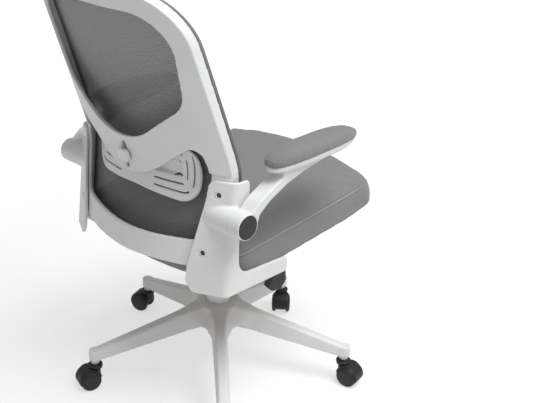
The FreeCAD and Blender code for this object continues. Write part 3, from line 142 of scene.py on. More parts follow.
def relax(mesh, rounds, keep_volume=True, weight=None):
    """Smooth a mesh; with keep_volume each step in is followed by a step out."""
    points, edges = read_points(mesh), mesh_edges(mesh)
    share = 1.0 if weight is None else weight[:, None]
    for _ in range(rounds):
        points += share * STEP_IN * (neighbour_mean(points, edges) - points)
        if keep_volume:
            points -= share * STEP_OUT * (neighbour_mean(points, edges) - points)
    write_points(mesh, points)


def fill_corners(mesh, rounds, weight=None):
    """Fill concave corners with soft fillets: only moves that go outwards are made."""
    edges = mesh_edges(mesh)
    share = 1.0 if weight is None else weight[:, None]
    for _ in range(rounds):
        points, normals = read_points(mesh), point_normals(mesh)
        step = STEP_IN * (neighbour_mean(points, edges) - points)
        outward = np.clip((step * normals).sum(1), 0, None)
        write_points(mesh, points + share * outward[:, None] * normals)


def remeshed(piece, voxel):
    """Replace a piece's mesh by an even one of small quads."""
    grid = piece.modifiers.new("even", "REMESH")
    grid.mode = "VOXEL"
    grid.voxel_size = voxel
    applied(piece)


def applied(piece):
    """Make what the modifiers show the piece's own mesh."""
    shown = piece.evaluated_get(bpy.context.evaluated_depsgraph_get())
    fine = bpy.data.meshes.new_from_object(shown)
    piece.modifiers.clear()
    fine.shade_smooth()
    piece.data = fine


def crisp(piece, cell):
    """Replace a piece's mesh by an even one that keeps its edges, with cells of the given size."""
    points = read_points(piece.data)
    size = float((points.max(0) - points.min(0)).max())
    depth = math.ceil(math.log2(size / cell / OCTREE_FILL))
    joined = piece.modifiers.new("joined", "WELD")
    joined.merge_threshold = WELD_GAP
    grid = piece.modifiers.new("even", "REMESH")
    grid.mode = "SHARP"
    grid.octree_depth = depth
    grid.scale = size / cell / 2 ** depth
    grid.use_remove_disconnected = False
    applied(piece)


def copied(node):
    """A copy of a CAD node's mesh to work on."""
    return linked(node + "_moulded", NODES[node].data.copy())


def moulded(node, cell, fillets=0, soften=2, sharp_at=None):
    """A copy of a CAD node as moulded, with inner corners filled and edges rounded except near sharp_at."""
    piece = copied(node)
    crisp(piece, cell)
    weight = None if sharp_at is None else sharp_at(read_points(piece.data))
    fill_corners(piece.data, fillets, weight)
    relax(piece.data, soften, False, weight)
    relax(piece.data, SETTLE_ROUNDS, True, weight)
    stand_for(piece, node)
    return piece


def stand_for(piece, node):
    """The piece replaces a CAD node, moves with its body and has its look."""
    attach(piece, BODY_OF[node])
    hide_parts(node)
    dress(piece, LOOKS[SLOT_OF[node]])


def add_to(piece, body, look):
    """The piece is an extra one that moves with a body."""
    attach(piece, body)
    dress(piece, look)


def dress(piece, look):
    """Give a piece one material."""
    piece.data.materials.clear()
    piece.data.materials.append(look)


def ring_faces(rings, closed=False):
    """Quads between neighbouring rings of points, and from the last ring to the first one if closed."""
    count = len(rings[0])
    faces = []
    for row in range(len(rings) if closed else len(rings) - 1):
        after = (row + 1) % len(rings)
        for i in range(count):
            j = (i + 1) % count
            faces.append((row * count + i, row * count + j, after * count + j, after * count + i))
    return faces


def ring_mesh(name, rings):
    """A closed skin over rings of points, with a fan at either end."""
    count = len(rings[0])
    points = [p for ring in rings for p in ring]
    faces = ring_faces(rings)
    for row, turn in ((0, -1), (len(rings) - 1, 1)):
        middle = len(points)
        points.append(np.mean(rings[row], axis=0))
        for i in range(count):
            corner = (row * count + i, row * count + (i + 1) % count, middle)
            faces.append(corner[::turn])
    return new_piece(name, points, faces)


def full_turn(count):
    """Even angles round a circle."""
    return np.arange(count) * 2 * math.pi / count


def spokes(angles, across, other):
    """Directions at angles between two directions that are square to each other."""
    return np.outer(np.cos(angles), across) + np.outer(np.sin(angles), other)


def tube(name, path, radius, closed=False, sides=10):
    """A round tube along a path; radius is one number or one for each point."""
    path = np.asarray(path, dtype=float)
    count = len(path)
    radii = np.broadcast_to(radius, count)
    ahead = headings(path) if closed else unit(np.gradient(path, axis=0))
    across = np.cross(ahead[0], ASKEW)
    rings = []
    for i in range(count):
        across = across - ahead[i] * np.dot(across, ahead[i])
        across = across / np.linalg.norm(across)
        other = np.cross(ahead[i], across)
        rings.append(path[i] + radii[i] * spokes(full_turn(sides), across, other))
    if not closed:
        return ring_mesh(name, rings)
    return new_piece(name, np.concatenate(rings), ring_faces(rings, closed=True))


def unit(vectors):
    return vectors / np.linalg.norm(vectors, axis=1)[:, None]


def headings(loop):
    """The direction of a closed path at each of its points."""
    return unit(np.roll(loop, -1, axis=0) - np.roll(loop, 1, axis=0))


def to_right(ways):
    """Flat directions turned to their right, which is outwards on an anticlockwise path."""
    return np.stack([ways[:, 1], -ways[:, 0]], axis=1)


def lengths(path):
    """Length along a path up to each of its points."""
    return np.concatenate([[0], np.cumsum(np.linalg.norm(np.diff(path, axis=0), axis=1))])


def resampled(path, step):
    """Points at even steps round a closed path."""
    path = np.asarray(path, dtype=float)
    loop = np.vstack([path, path[:1]])
    along = lengths(loop)
    count = int(along[-1] / step)
    marks = np.arange(count) * along[-1] / count
    return np.stack([np.interp(marks, along, loop[:, axis]) for axis in range(loop.shape[1])], axis=1)


def softened_loop(path, width, step):
    """A closed path with its corners rounded by a running mean of the given width."""
    reach = max(1, int(width / step / 2))
    shifted = [np.roll(path, k, axis=0) for k in range(-reach, reach + 1)]
    return np.mean(shifted, axis=0)


def rounded(corners, step=0.002):
    """A closed outline from corners with radii, as points."""
    points = []
    count = len(corners)
    for i in range(count):
        here = np.array(corners[i][:2])
        before = np.array(corners[i - 1][:2]) - here
        after = np.array(corners[(i + 1) % count][:2]) - here
        before, after = before / np.linalg.norm(before), after / np.linalg.norm(after)
        half = math.acos(np.clip(np.dot(before, after), -1, 1)) / 2
        radius = corners[i][2]
        if radius == 0 or half > math.pi / 2 - 1e-6:
            points.append(here)
            continue
        bisector = (before + after) / np.linalg.norm(before + after)
        middle = here + bisector * radius / math.sin(half)
        start = here + before * radius / math.tan(half) - middle
        end = here + after * radius / math.tan(half) - middle
        sweep = math.pi - 2 * half
        steps = max(4, int(radius * sweep / step))
        for k in range(steps + 1):
            part = k / steps
            weight = (math.sin((1 - part) * sweep), math.sin(part * sweep))
            points.append(middle + (weight[0] * start + weight[1] * end) / math.sin(sweep))
    return np.array(points)


def mirrored(corners):
    """Corners on the middle line and to its right, with their mirror images."""
    return corners + [(-x, y, radius) for x, y, radius in reversed(corners) if x > 0]


def flowing(points, step=0.001, rounds=12):
    """An open path through a few points with its bends softened."""
    points = np.asarray(points, dtype=float)
    along = lengths(points)
    marks = np.linspace(0, along[-1], max(3, int(along[-1] / step)))
    path = np.stack([np.interp(marks, along, points[:, axis]) for axis in range(2)], axis=1)
    for _ in range(rounds):
        path[1:-1] = (path[:-2] + 2 * path[1:-1] + path[2:]) / 4
    return path


def capsule(path, half):
    """Outline of a slot with round ends along a path."""
    ahead = unit(np.gradient(path, axis=0))
    side = -to_right(ahead)
    turn = np.linspace(math.pi / 2, -math.pi / 2, 9)[1:-1, None]
    last = path[-1] + half * (np.cos(turn) * ahead[-1] + np.sin(turn) * side[-1])
    first = path[0] - half * (np.cos(turn) * ahead[0] + np.sin(turn) * side[0])
    return np.vstack([path + half * side, last, (path - half * side)[::-1], first])


def distance(points, path):
    """Distance from each point to a path of straight pieces."""
    nearest = np.full(len(points), np.inf)
    for start, end in zip(path[:-1], path[1:]):
        along = end - start
        part = np.clip((points - start) @ along / (along @ along), 0, 1)
        nearest = np.minimum(nearest, np.linalg.norm(points - start - part[:, None] * along, axis=1))
    return nearest


def inside(points, loop):
    """Which points lie inside a closed outline."""
    x, y = points[:, :1], points[:, 1:]
    ahead = np.roll(loop, -1, axis=0)
    rise = np.where(ahead[:, 1] == loop[:, 1], 1e-12, ahead[:, 1] - loop[:, 1])
    cross = loop[:, 0] + (ahead[:, 0] - loop[:, 0]) * (y - loop[:, 1]) / rise
    passed = ((loop[:, 1] > y) != (ahead[:, 1] > y)) & (x < cross)
    return passed.sum(1) % 2 == 1


PLATE_STEP, PLATE_GRID = 0.0015, 0.0025
PLATE_EDGE_ROWS, PLATE_SLOT_ROWS = (0.0004, 0.0012, 0.0022), (0.0004, 0.001)
PLATE_EDGE_ROOM, PLATE_SLOT_ROOM = 0.003, 0.002


def plate(name, outline, slots, half, rear, thick, edge):
    """A thin plate, with slots through it and its rear edges rounded; rear gives Y from X and Z."""
    outline = resampled(outline, PLATE_STEP)
    outward = to_right(headings(outline))
    if inside(outline[:1] + outward[:1] * PLATE_STEP / 2, outline)[0]:
        outward = -outward
    loops = [outline] + [capsule(path, half) for path in slots]
    rings = [outline - outward * deep for deep in PLATE_EDGE_ROWS]
    rings += [capsule(path, half + more) for path in slots for more in PLATE_SLOT_ROWS]
    low, high = outline.min(0), outline.max(0)
    columns, rows = (np.arange(low[axis], high[axis], PLATE_GRID) for axis in (0, 1))
    grid = np.stack(np.meshgrid(columns, rows), axis=-1).reshape(-1, 2)
    closed = np.vstack([outline, outline[:1]])

    def clearances(points):
        between = np.min([distance(points, path) - half for path in slots], axis=0)
        return distance(points, closed), between

    to_edge, to_slot = clearances(grid)
    grid = grid[inside(grid, outline) & (to_edge > PLATE_EDGE_ROOM) & (to_slot > PLATE_SLOT_ROOM)]
    points, edges = [], []
    for loop in loops:
        first = len(points)
        points += list(loop)
        edges += [(first + i, first + (i + 1) % len(loop)) for i in range(len(loop))]
    points = np.vstack([points] + rings + [grid])
    found = delaunay_2d_cdt([Vector(p) for p in points], edges, [], 0, 1e-7)
    flat = np.array([tuple(p) for p in found[0]])
    faces = np.array([tuple(f) for f in found[2]])
    middle = flat[faces].mean(1)
    to_slot = clearances(middle)[1]
    faces = faces[inside(middle, outline) & (to_slot > 0)]
    to_edge, to_slot = clearances(flat)
    drop = edge - np.sqrt(edge ** 2 - np.clip(edge - to_edge, 0, edge) ** 2)
    small = edge / 3
    drop += small - np.sqrt(small ** 2 - np.clip(small - to_slot, 0, small) ** 2)
    behind = rear(flat[:, 0], flat[:, 1])
    count = len(flat)
    both = np.vstack([np.column_stack([flat[:, 0], behind - drop, flat[:, 1]]),
                      np.column_stack([flat[:, 0], behind - thick, flat[:, 1]])])
    skin = [tuple(f[::-1]) for f in faces] + [tuple(f + count) for f in faces]
    sides = np.concatenate([faces[:, [0, 1]], faces[:, [1, 2]], faces[:, [2, 0]]])
    known = {tuple(pair) for pair in sides}
    for a, b in known:
        if (b, a) not in known:
            skin.append((a, b, b + count, a + count))
    return new_piece(name, both, skin)


def turned(name, profile, middle, axis, steps=72):
    """A closed round piece from a profile of radius and place along its axis."""
    axis = np.asarray(axis, dtype=float)
    across = np.cross(axis, (0.0, 0.0, 1.0)) if abs(axis[2]) < 0.9 else np.array([1.0, 0.0, 0.0])
    across /= np.linalg.norm(across)
    other = np.cross(axis, across)
    way = spokes(full_turn(steps), across, other)
    return ring_mesh(name, [np.asarray(middle) + axis * place + way * radius for radius, place in profile])


def softstep(value, start, end):
    """0 before the start, 1 after the end, and smooth between."""
    part = np.clip((value - start) / (end - start), 0, 1)
    return part * part * (3 - 2 * part)


CLOTH_STEPS = 20
CLOTH = {
    "quality": 5, "mass": 0.3, "tension_stiffness": 15, "compression_stiffness": 15, "shear_stiffness": 5,
    "bending_stiffness": 0.5, "use_pressure": True, "uniform_pressure_force": 4, "vertex_group_mass": "held"}


def inflate(piece, voxel, cap, held):
    """Even out the mesh and blow it up as a sewn cover, with no point moved further than the cap."""
    remeshed(piece, voxel)
    rest = read_points(piece.data)
    group = piece.vertex_groups.new(name="held")
    group.add([int(i) for i in np.nonzero(held(rest))[0]], 1.0, "REPLACE")
    cloth = piece.modifiers.new("cover", "CLOTH")
    for key, value in CLOTH.items():
        setattr(cloth.settings, key, value)
    cloth.settings.effector_weights.gravity = 0
    cloth.collision_settings.use_collision = False
    for step in range(1, CLOTH_STEPS + 1):
        scene.frame_set(step)
    shown = piece.evaluated_get(bpy.context.evaluated_depsgraph_get())
    moved = read_points(shown.to_mesh()) - rest
    shown.to_mesh_clear()
    piece.modifiers.clear()
    piece.vertex_groups.clear()
    scene.frame_set(1)
    length = np.linalg.norm(moved, axis=1)
    share = np.minimum(1, cap / np.maximum(length, 1e-9))
    write_points(piece.data, rest + moved * share[:, None])


def subdivide(piece):
    """Show a piece with its faces split once and smoothed."""
    finer = piece.modifiers.new("finer", "SUBSURF")
    finer.levels = 1
    finer.render_levels = 1


# Materials
class Look:
    """A material built from shader nodes."""

    def __init__(self, name, colour=None):
        self.colour = colour
        self.material = bpy.data.materials.new(name)
        self.material.use_nodes = True
        self.tree = self.material.node_tree
        self.surface = self.tree.nodes["Principled BSDF"]
        self.place = self.tree.nodes.new("ShaderNodeTexCoord").outputs["Object"]

    def feed(self, socket, value):
        if isinstance(value, bpy.types.NodeSocket):
            self.tree.links.new(value, socket)
        else:
            socket.default_value = value

    def node(self, kind, inputs, output=0, **settings):
        made = self.tree.nodes.new("ShaderNode" + kind)
        for key, value in settings.items():
            setattr(made, key, value)
        for key, value in inputs.items():
            self.feed(made.inputs[key], value)
        return made.outputs[output]

    def noise(self, scale, detail=3.0, place=None):
        inputs = {"Vector": place or self.place, "Scale": scale, "Detail": detail}
        return self.node("TexNoise", inputs)

    def bands(self, axis, pitch, distortion=0.0, place=None):
        """Even waves along an axis, with the crests a pitch apart."""
        inputs = {"Vector": place or self.place, "Scale": 2 * math.pi / 20 / pitch, "Distortion": distortion,
                  "Detail": 1.0, "Detail Scale": 0.4}
        return self.node("TexWave", inputs, wave_type="BANDS", bands_direction=axis, output=1)

    def math(self, operation, *values):
        return self.node("Math", dict(enumerate(values)), operation=operation)

    def times(self, first, second):
        return self.math("MULTIPLY", first, second)

    def plus(self, first, second):
        return self.math("ADD", first, second)

    def part(self, vector, index):
        return self.node("SeparateXYZ", {"Vector": vector}, output=index)

    def ranged(self, value, low, high, start=0.0, end=1.0):
        inputs = {"Value": value, "From Min": start, "From Max": end, "To Min": low, "To Max": high}
        return self.node("MapRange", inputs)

    def shade(self, factor):
        """The look's own colour made paler or darker."""
        return tuple(min(1.0, part * factor) for part in self.colour) + (1.0,)

    def mix(self, share, *colours):
        """Two colours mixed, each from a node or as a factor of the look's own colour."""
        made = self.tree.nodes.new("ShaderNodeMix")
        made.data_type = "RGBA"
        self.feed(made.inputs[0], share)
        for index, colour in zip((6, 7), colours):
            self.feed(made.inputs[index], self.shade(colour) if isinstance(colour, float) else colour)
        return made.outputs[2]

    def bump(self, height, strength, distance):
        return self.node("Bump", {"Height": height, "Strength": strength, "Distance": distance})

    def finish(self, **sockets):
        for key, value in sockets.items():
            self.feed(self.surface.inputs[key.replace("_", " ")], value)
        return self.material


def plastic(name, colour, roughness, grain, gloss=0.5):
    """Moulded plastic: faint cloudiness, a fine grain and convex edges a little lighter as a painted
    highlight.
    """
    look = Look(name, colour)
    cloud = look.ranged(look.noise(9.0), 0, 1, 0.3, 0.7)
    tone = look.mix(cloud, 0.965, 1.02)
    # Painted highlight: convex edges, found by their pointiness, are painted lighter.
    edge = look.node("NewGeometry", {}, output=7)
    edge_highlight = look.ranged(edge, 0, 0.5, 0.53, 0.62)
    tone = look.mix(edge_highlight, tone, 1.12)
    rough = look.ranged(look.noise(55.0), roughness - 0.05, roughness + 0.07, 0.3, 0.7)
    fine = look.bump(look.noise(grain, 2.0), 0.16, 0.0003)
    return look.finish(Base_Color=tone, Roughness=rough, Normal=fine, Specular_IOR_Level=gloss)


def metal(name, colour, roughness, brushed):
    """Bare metal with fine drawn lines."""
    look = Look(name, colour)
    stretched = look.node("Mapping", {"Vector": look.place, "Scale": (1.0, 1.0, brushed)})
    lines = look.noise(400.0, 2.0, stretched)
    tone = look.mix(lines, 0.9, 1.08)
    rough = look.ranged(lines, roughness - 0.08, roughness + 0.1, 0.3, 0.7)
    fine = look.bump(lines, 0.1, 0.0002)
    return look.finish(Base_Color=tone, Roughness=rough, Normal=fine, Metallic=1.0)


def wood(name, colour):
    """Plywood: broad grain on the face and thin plies at the edge."""
    look = Look(name, colour)
    stretched = look.node("Mapping", {"Vector": look.place, "Scale": (1.0, 0.12, 1.0)})
    grain = look.noise(60.0, 4.0, stretched)
    plies = look.bands("Z", 0.003)
    tone = look.mix(grain, 0.8, 1.1)
    tone = look.mix(look.ranged(plies, 0, 0.25), tone, 0.6)
    fine = look.bump(grain, 0.15, 0.0004)
    return look.finish(Base_Color=tone, Roughness=look.ranged(grain, 0.6, 0.75), Normal=fine)


def cloth(name, colour, pitch, tilt=0.0, side_ribs=None, cross_ribs=None):
    """Woven cloth with a soft mottle, and with ribs on its sides or across it where their pitch is given."""
    look = Look(name, colour)
    place = look.node("Mapping", {"Vector": look.place, "Rotation": (tilt, 0.0, 0.0)})
    facing = look.node("NewGeometry", {}, output=1)
    weave = None
    for index, axis in enumerate("XYZ"):
        toward = look.part(facing, index)
        across = look.math("SUBTRACT", 1.0, look.times(toward, toward))
        threads = look.times(look.bands(axis, pitch, 0.0, place), across)
        weave = threads if weave is None else look.plus(weave, threads)
    weave = look.math("DIVIDE", weave, 2.0)
    mottle = look.ranged(look.noise(40.0, 4.0), 0, 1, 0.3, 0.7)
    fuzz = look.noise(1400.0, 2.0)
    tone = look.mix(look.ranged(weave, 0, 1, 0.2, 0.8), 0.9, 1.08)
    tone = look.mix(look.ranged(fuzz, 0, 0.35, 0.3, 0.7), tone, 1.2)
    tone = look.mix(look.ranged(mottle, 0, 0.3), tone, 0.9)
    height = look.plus(weave, look.times(fuzz, 0.4))
    if side_ribs:
        ribs = look.bands("Z", side_ribs, 0.15, place)
        upward = look.math("ABSOLUTE", look.part(facing, 2))
        rearward = look.part(place, 1)
        on_side = look.ranged(upward, 1, 0, 0.35, 0.6)
        to_rear = look.ranged(rearward, 0.1, 1, -0.2, 0.1)
        lines = look.times(ribs, look.times(on_side, to_rear))
        tone = look.mix(look.times(lines, 0.5), tone, 1.4)
        height = look.plus(height, look.times(lines, 3.5))
    if cross_ribs:
        ribs = look.bands("Y", cross_ribs, 0.1, place)
        # Partly the rib pattern, partly a painted highlight: rib crests are painted lighter, as where they
        # catch the light.
        tone = look.mix(look.times(ribs, 0.45), tone, 1.5)
        height = look.plus(height, look.times(ribs, 3.0))
    fine = look.bump(height, 0.5, 0.0006)
    rough = look.ranged(fuzz, 0.82, 0.95)
    return look.finish(Base_Color=tone, Roughness=rough, Normal=fine, Sheen_Weight=0.25, Sheen_Roughness=0.5)


def knit(name, colour, rib_pitch, loop_pitch, open_share=0.0):
    """Knitted mesh: small loops along ribs, dark between them, a little see-through, and painted paler to the
    top as light.
    """
    look = Look(name, colour)
    ribs = look.bands("Z", rib_pitch)
    loops = look.bands("X", loop_pitch, 0.3)
    fuzz = look.noise(1100.0, 2.0)
    cloud = look.ranged(look.noise(6.0), 0, 0.25, 0.3, 0.7)
    holes = look.times(look.ranged(ribs, 1, 0, 0.1, 0.75), look.ranged(loops, 0.5, 1))
    tone = look.mix(holes, 1.18, 0.5)
    tone = look.mix(look.ranged(fuzz, 0, 0.3, 0.3, 0.7), tone, 1.2)
    tone = look.mix(cloud, tone, 0.85)
    # Painted light: paler with height, for light coming through the upper mesh and the seat's shade on the
    # lower mesh.
    level = look.part(look.place, 2)
    tone = look.mix(look.ranged(level, 0.0, 0.6, 0.64, 0.86), tone, 2.1)
    height = look.plus(look.times(ribs, loops), look.times(fuzz, 0.3))
    fine = look.bump(height, 0.45, 0.0005)
    return look.finish(Base_Color=tone, Roughness=look.ranged(fuzz, 0.8, 0.95), Normal=fine,
                       Sheen_Weight=0.2, Sheen_Roughness=0.5, Alpha=1.0 - open_share)


SEAT_SLOPE = math.radians(5.7)
LOOKS = {
    "white_plastic": plastic("white_plastic_look", (0.74, 0.745, 0.75), 0.42, 1500.0),
    "dark_plastic": plastic("dark_plastic_look", (0.022, 0.022, 0.023), 0.5, 1200.0, 0.38),
    "nylon": plastic("nylon_look", (0.02, 0.02, 0.0215), 0.46, 1000.0, 0.38),
    "black_steel": plastic("black_steel_look", (0.03, 0.03, 0.032), 0.5, 700.0),
    "steel": metal("steel_look", (0.55, 0.55, 0.56), 0.32, 0.05),
    "plywood": wood("plywood_look", (0.55, 0.4, 0.25)),
    "seat_fabric": cloth("seat_fabric_look", (0.198, 0.198, 0.201), 0.0016, SEAT_SLOPE, 0.0052),
    "arm_fabric": cloth("arm_fabric_look", (0.185, 0.185, 0.188), 0.0018, cross_ribs=0.0034),
    "back_fabric": knit("back_fabric_look", (0.19, 0.19, 0.192), 0.0043, 0.0021, 0.16),
}
# The piping is painted paler than the seat's cloth, as a painted highlight along the seam.
PIPING_HIGHLIGHT_LOOK = cloth("piping_highlight_look", (0.27, 0.27, 0.273), 0.0012)
# The mesh's rolled edge is the knit painted darker, as painted shade along the rim.
EDGE_SHADED_LOOK = knit("mesh_edge_shaded_look", (0.11, 0.11, 0.112), 0.0022, 0.0021)


# Seat cushion
SEAT_LEVEL = 0.4015
SEAT_HALF = 0.2475
SEAT_FRONT, SEAT_FRONT_BOW = -0.271, 0.016
SEAT_REAR, SEAT_REAR_BOW = 0.176, 0.052
SEAT_EDGE, SEAT_CROWN = 0.066, 0.036
SEAT_CORNER, SEAT_STEP = 0.075, 0.004
SEAT_SHOULDER, SEAT_FOOT = 0.02, 0.007
NOSE_START, NOSE_LENGTH, NOSE_SHOULDER, NOSE_FOOT = -0.16, 0.1, 0.009, 0.015
SEAT_SAG, SAG_ALONG, SAG_ACROSS = 0.009, (0.06, 0.17), (0.2, 0.15)
SEAT_BULGE, SEAT_GROWN = 0.002, 0.001
SEAT_MIDDLE, SEAT_UNDER = (0, -0.03), 0.001
HEM_INSET, HEM_LEVELS, HEM_FOLD = 0.0115, (0.0124, 0.004), 0.0105
SEAT_VOXEL, SEAT_SWELL, SEAT_HELD = 0.005, 0.005, 0.012
SEAM_HEIGHT, SEAM_WIDTH, SEAM_DEPTH = 0.056, 0.004, 0.0014
PIPING_RADIUS, PIPING_LIFT, PIPING_SOFT = 0.0027, 0.0006, 0.02
PIPING_THINNER, PIPING_THINS = 0.0015, (-0.17, -0.24)
RAY_START, RAY_LENGTH = 0.06, 0.2


def on_seat(local):
    """Points across, along and square to the seat's plane, in the chair's frame."""
    local = np.asarray(local, dtype=float)
    x, v, n = local[..., 0], local[..., 1], local[..., 2]
    cos, sin = math.cos(SEAT_SLOPE), math.sin(SEAT_SLOPE)
    return np.stack([x, v * cos + n * sin, SEAT_LEVEL - v * sin + n * cos], axis=-1)


def off_seat(points):
    """The other way: from the chair's frame to across, along and square to the seat."""
    cos, sin = math.cos(SEAT_SLOPE), math.sin(SEAT_SLOPE)
    y, z = points[:, 1], points[:, 2] - SEAT_LEVEL
    return np.stack([points[:, 0], y * cos - z * sin, y * sin + z * cos], axis=1)


def seat_loop():
    """Outline of the seat in its plane, anticlockwise from above, and the outward direction at each point."""
    across = np.linspace(-SEAT_HALF, SEAT_HALF, 120)
    arch = 1 - (across / SEAT_HALF) ** 2
    front = np.stack([across, SEAT_FRONT - SEAT_FRONT_BOW * arch], axis=1)
    rear = np.stack([across, SEAT_REAR + SEAT_REAR_BOW * arch], axis=1)[::-1]
    loop = softened_loop(resampled(np.vstack([front, rear]), SEAT_STEP), SEAT_CORNER, SEAT_STEP)
    return loop, to_right(headings(loop))


def seat_top(x):
    """Height of the seat's crowned top above its plane."""
    return SEAT_EDGE + SEAT_CROWN * (1 - (np.clip(x / SEAT_HALF, -1, 1)) ** 2)


def seat_cushion():
    """The crowned cover, rounder at its front, with an underside that hangs lower at the rear."""
    loop, outward = seat_loop()
    nose = np.clip((NOSE_START - loop[:, 1]) / NOSE_LENGTH, 0, 1)
    shoulder = SEAT_SHOULDER + NOSE_SHOULDER * nose
    foot = SEAT_FOOT + NOSE_FOOT * nose
    top = seat_top(loop[:, 0]) + SEAT_GROWN
    sag = SEAT_SAG * softstep(loop[:, 1], *SAG_ALONG) * softstep(np.abs(loop[:, 0]), *SAG_ACROSS)

    def ring(inset, height):
        flat = loop - outward * (inset - SEAT_GROWN)[:, None]
        return on_seat(np.column_stack([flat, height]))

    level = np.zeros(len(loop))
    rings = [ring(level + HEM_INSET, level + height) for height in HEM_LEVELS]
    rings.append(ring(level + HEM_FOLD, SEAT_UNDER - sag))
    for angle in np.radians(np.linspace(0, 90, 5)):
        rings.append(ring(foot * (1 - np.sin(angle)), SEAT_UNDER - sag + foot * (1 - np.cos(angle))))
    for part in np.linspace(0.1, 0.9, 7):
        side = foot - sag + (top - shoulder - foot + sag) * part
        rings.append(ring(level - SEAT_BULGE * np.sin(math.pi * part), side))
    for angle in np.radians(np.linspace(0, 90, 8)):
        rings.append(ring(shoulder * (1 - np.cos(angle)), top - shoulder * (1 - np.sin(angle))))
    last = loop - outward * (shoulder - SEAT_GROWN)[:, None]
    middle = np.array(SEAT_MIDDLE)
    for part in np.linspace(0.95, 0.05, 30):
        flat = middle + (last - middle) * part
        rings.append(on_seat(np.column_stack([flat, np.maximum(top, seat_top(flat[:, 0]) + SEAT_GROWN)])))
    piece = ring_mesh("seat_cushion_soft", rings)
    inflate(piece, SEAT_VOXEL, SEAT_SWELL, lambda points: off_seat(points)[:, 2] < SEAT_HELD)
    relax(piece.data, 6)
    press_seam(piece.data)
    subdivide(piece)
    stand_for(piece, "seat_cushion")
    return piece


def press_seam(mesh):
    """Draw the cover in along the seam that runs round the top of the side."""
    points = read_points(mesh)
    local = off_seat(points)
    normals = point_normals(mesh)
    near = np.exp(-((local[:, 2] - SEAM_HEIGHT) / SEAM_WIDTH) ** 2)
    side = np.clip(1.2 - np.abs(normals[:, 2]), 0, 1)
    write_points(mesh, points - normals * (SEAM_DEPTH * near * side)[:, None])


def seam_piping(cushion):
    """Piping that lies in the seam on the surface of the cushion, thinner at the front."""
    loop, outward = seat_loop()
    tree = BVHTree.FromObject(cushion, bpy.context.evaluated_depsgraph_get())
    path = []
    for flat, out in zip(loop, outward):
        start = on_seat([*(flat + out * RAY_START), SEAM_HEIGHT])
        inward = on_seat([*flat, SEAM_HEIGHT]) - start
        hit = tree.ray_cast(Vector(start), Vector(inward).normalized(), RAY_LENGTH)[0]
        path.append(np.array([*hit]) + PIPING_LIFT * np.array([*out, 0]) if hit else start + inward)
    path = softened_loop(np.array(path), PIPING_SOFT, SEAT_STEP)
    thick = PIPING_RADIUS - PIPING_THINNER * softstep(path[:, 1], *PIPING_THINS)
    piece = tube("seat_piping", path, thick, closed=True)
    add_to(piece, "seat", PIPING_HIGHLIGHT_LOOK)


# Arm pads
PAD_ROUND, PAD_POINTS = 2.8, 200
PAD_SHOULDER, PAD_RISE, PAD_CLOSE = 0.3, 0.9, 0.62
PAD_VOXEL, PAD_SWELL, PAD_HELD = 0.003, 0.0015, 0.003
# Inset, share of the height and scale of each ring of a pad, and of a tray below
PAD_RINGS = ((0.006, 0.14, 0.5), (0.006, 0.12), (0.004, 0.02), (0.002, 0.0), (0.0006, 0.06), (0.0, 0.16))
PAD_PARTS = (0.0, 0.12, 0.35, 0.65, 1.0)
PAD_LOW = (-0.0085, -0.005, -0.0015, 0.002, 0.0035)
PAD_HIGH = (-0.003, 0.0, 0.0015, 0.0035, 0.0055)
TRAY_PARTS = (0.0, 0.5, 0.75, 0.92, 1.0)
TRAY_DEEP = (0.013, 0.017, 0.018, 0.013, 0.006)
TRAY_INSET, TRAY_LIP = 0.0025, 0.0015
TRAY_RINGS = (
    (0.004, 0.0, 0.4), (0.003, 0.0), (0.0, 0.02), (0.0004, 0.4), (0.0014, 0.7), (0.004, 0.9), (0.009, 1.0),
    (0.02, 1.04, 0.8), (0.024, 1.05, 0.4))


def pad_loop(side, inset=0.0):
    """The middle of an arm pad from above, and its outline as points."""
    low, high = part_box(f"arm_pad_{side}")
    middle = np.array([(low.x + high.x) / 2, (low.y + high.y) / 2])
    half = np.array([(high.x - low.x) / 2 - inset, (high.y - low.y) / 2 - inset])
    angles = full_turn(PAD_POINTS)
    ways = np.stack([np.cos(angles), np.sin(angles)], axis=1)
    return middle, middle + np.sign(ways) * np.abs(ways) ** (2 / PAD_ROUND) * half


def pad_levels(side, y):
    """Levels of the lower edge and of the top of an arm pad, from its rear end to its front."""
    low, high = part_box(f"arm_pad_{side}")
    part = (high.y - y) / (high.y - low.y)
    return low.z + np.interp(part, PAD_PARTS, PAD_LOW), high.z + np.interp(part, PAD_PARTS, PAD_HIGH)


def arm_pad(side):
    """A pad that rises a little to the front, with its cover drawn down round the edge of the tray."""
    node = f"arm_pad_{side}"
    middle = pad_loop(side)[0]

    def ring(inset, share, scale=1.0):
        flat = middle + (pad_loop(side, inset)[1] - middle) * scale
        low, high = pad_levels(side, flat[:, 1])
        return np.column_stack([flat, low + (high - low) * share])

    rings = [ring(*values) for values in PAD_RINGS]
    for turn in np.linspace(0, math.pi / 2, 20)[:-1]:
        share = PAD_SHOULDER + (1 - PAD_SHOULDER) * math.sin(turn) ** PAD_RISE
        rings.append(ring(0.0, share, math.cos(turn) ** PAD_CLOSE))
    piece = ring_mesh(f"arm_pad_soft_{side}", rings)

    def held(points):
        return points[:, 2] < pad_levels(side, points[:, 1])[0] + PAD_HELD

    inflate(piece, PAD_VOXEL, PAD_SWELL, held)
    subdivide(piece)
    stand_for(piece, node)


def tray(side):
    """The hull under an arm pad, deep at the arm and thin at the front."""
    low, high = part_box(f"arm_pad_{side}")
    middle = pad_loop(side)[0]

    def ring(inset, share, scale=1.0):
        flat = middle + (pad_loop(side, TRAY_INSET + inset)[1] - middle) * scale
        deep = np.interp((high.y - flat[:, 1]) / (high.y - low.y), TRAY_PARTS, TRAY_DEEP)
        return np.column_stack([flat, pad_levels(side, flat[:, 1])[0] + TRAY_LIP - deep * share])

    return ring_mesh(f"tray_{side}", [ring(*values) for values in TRAY_RINGS])


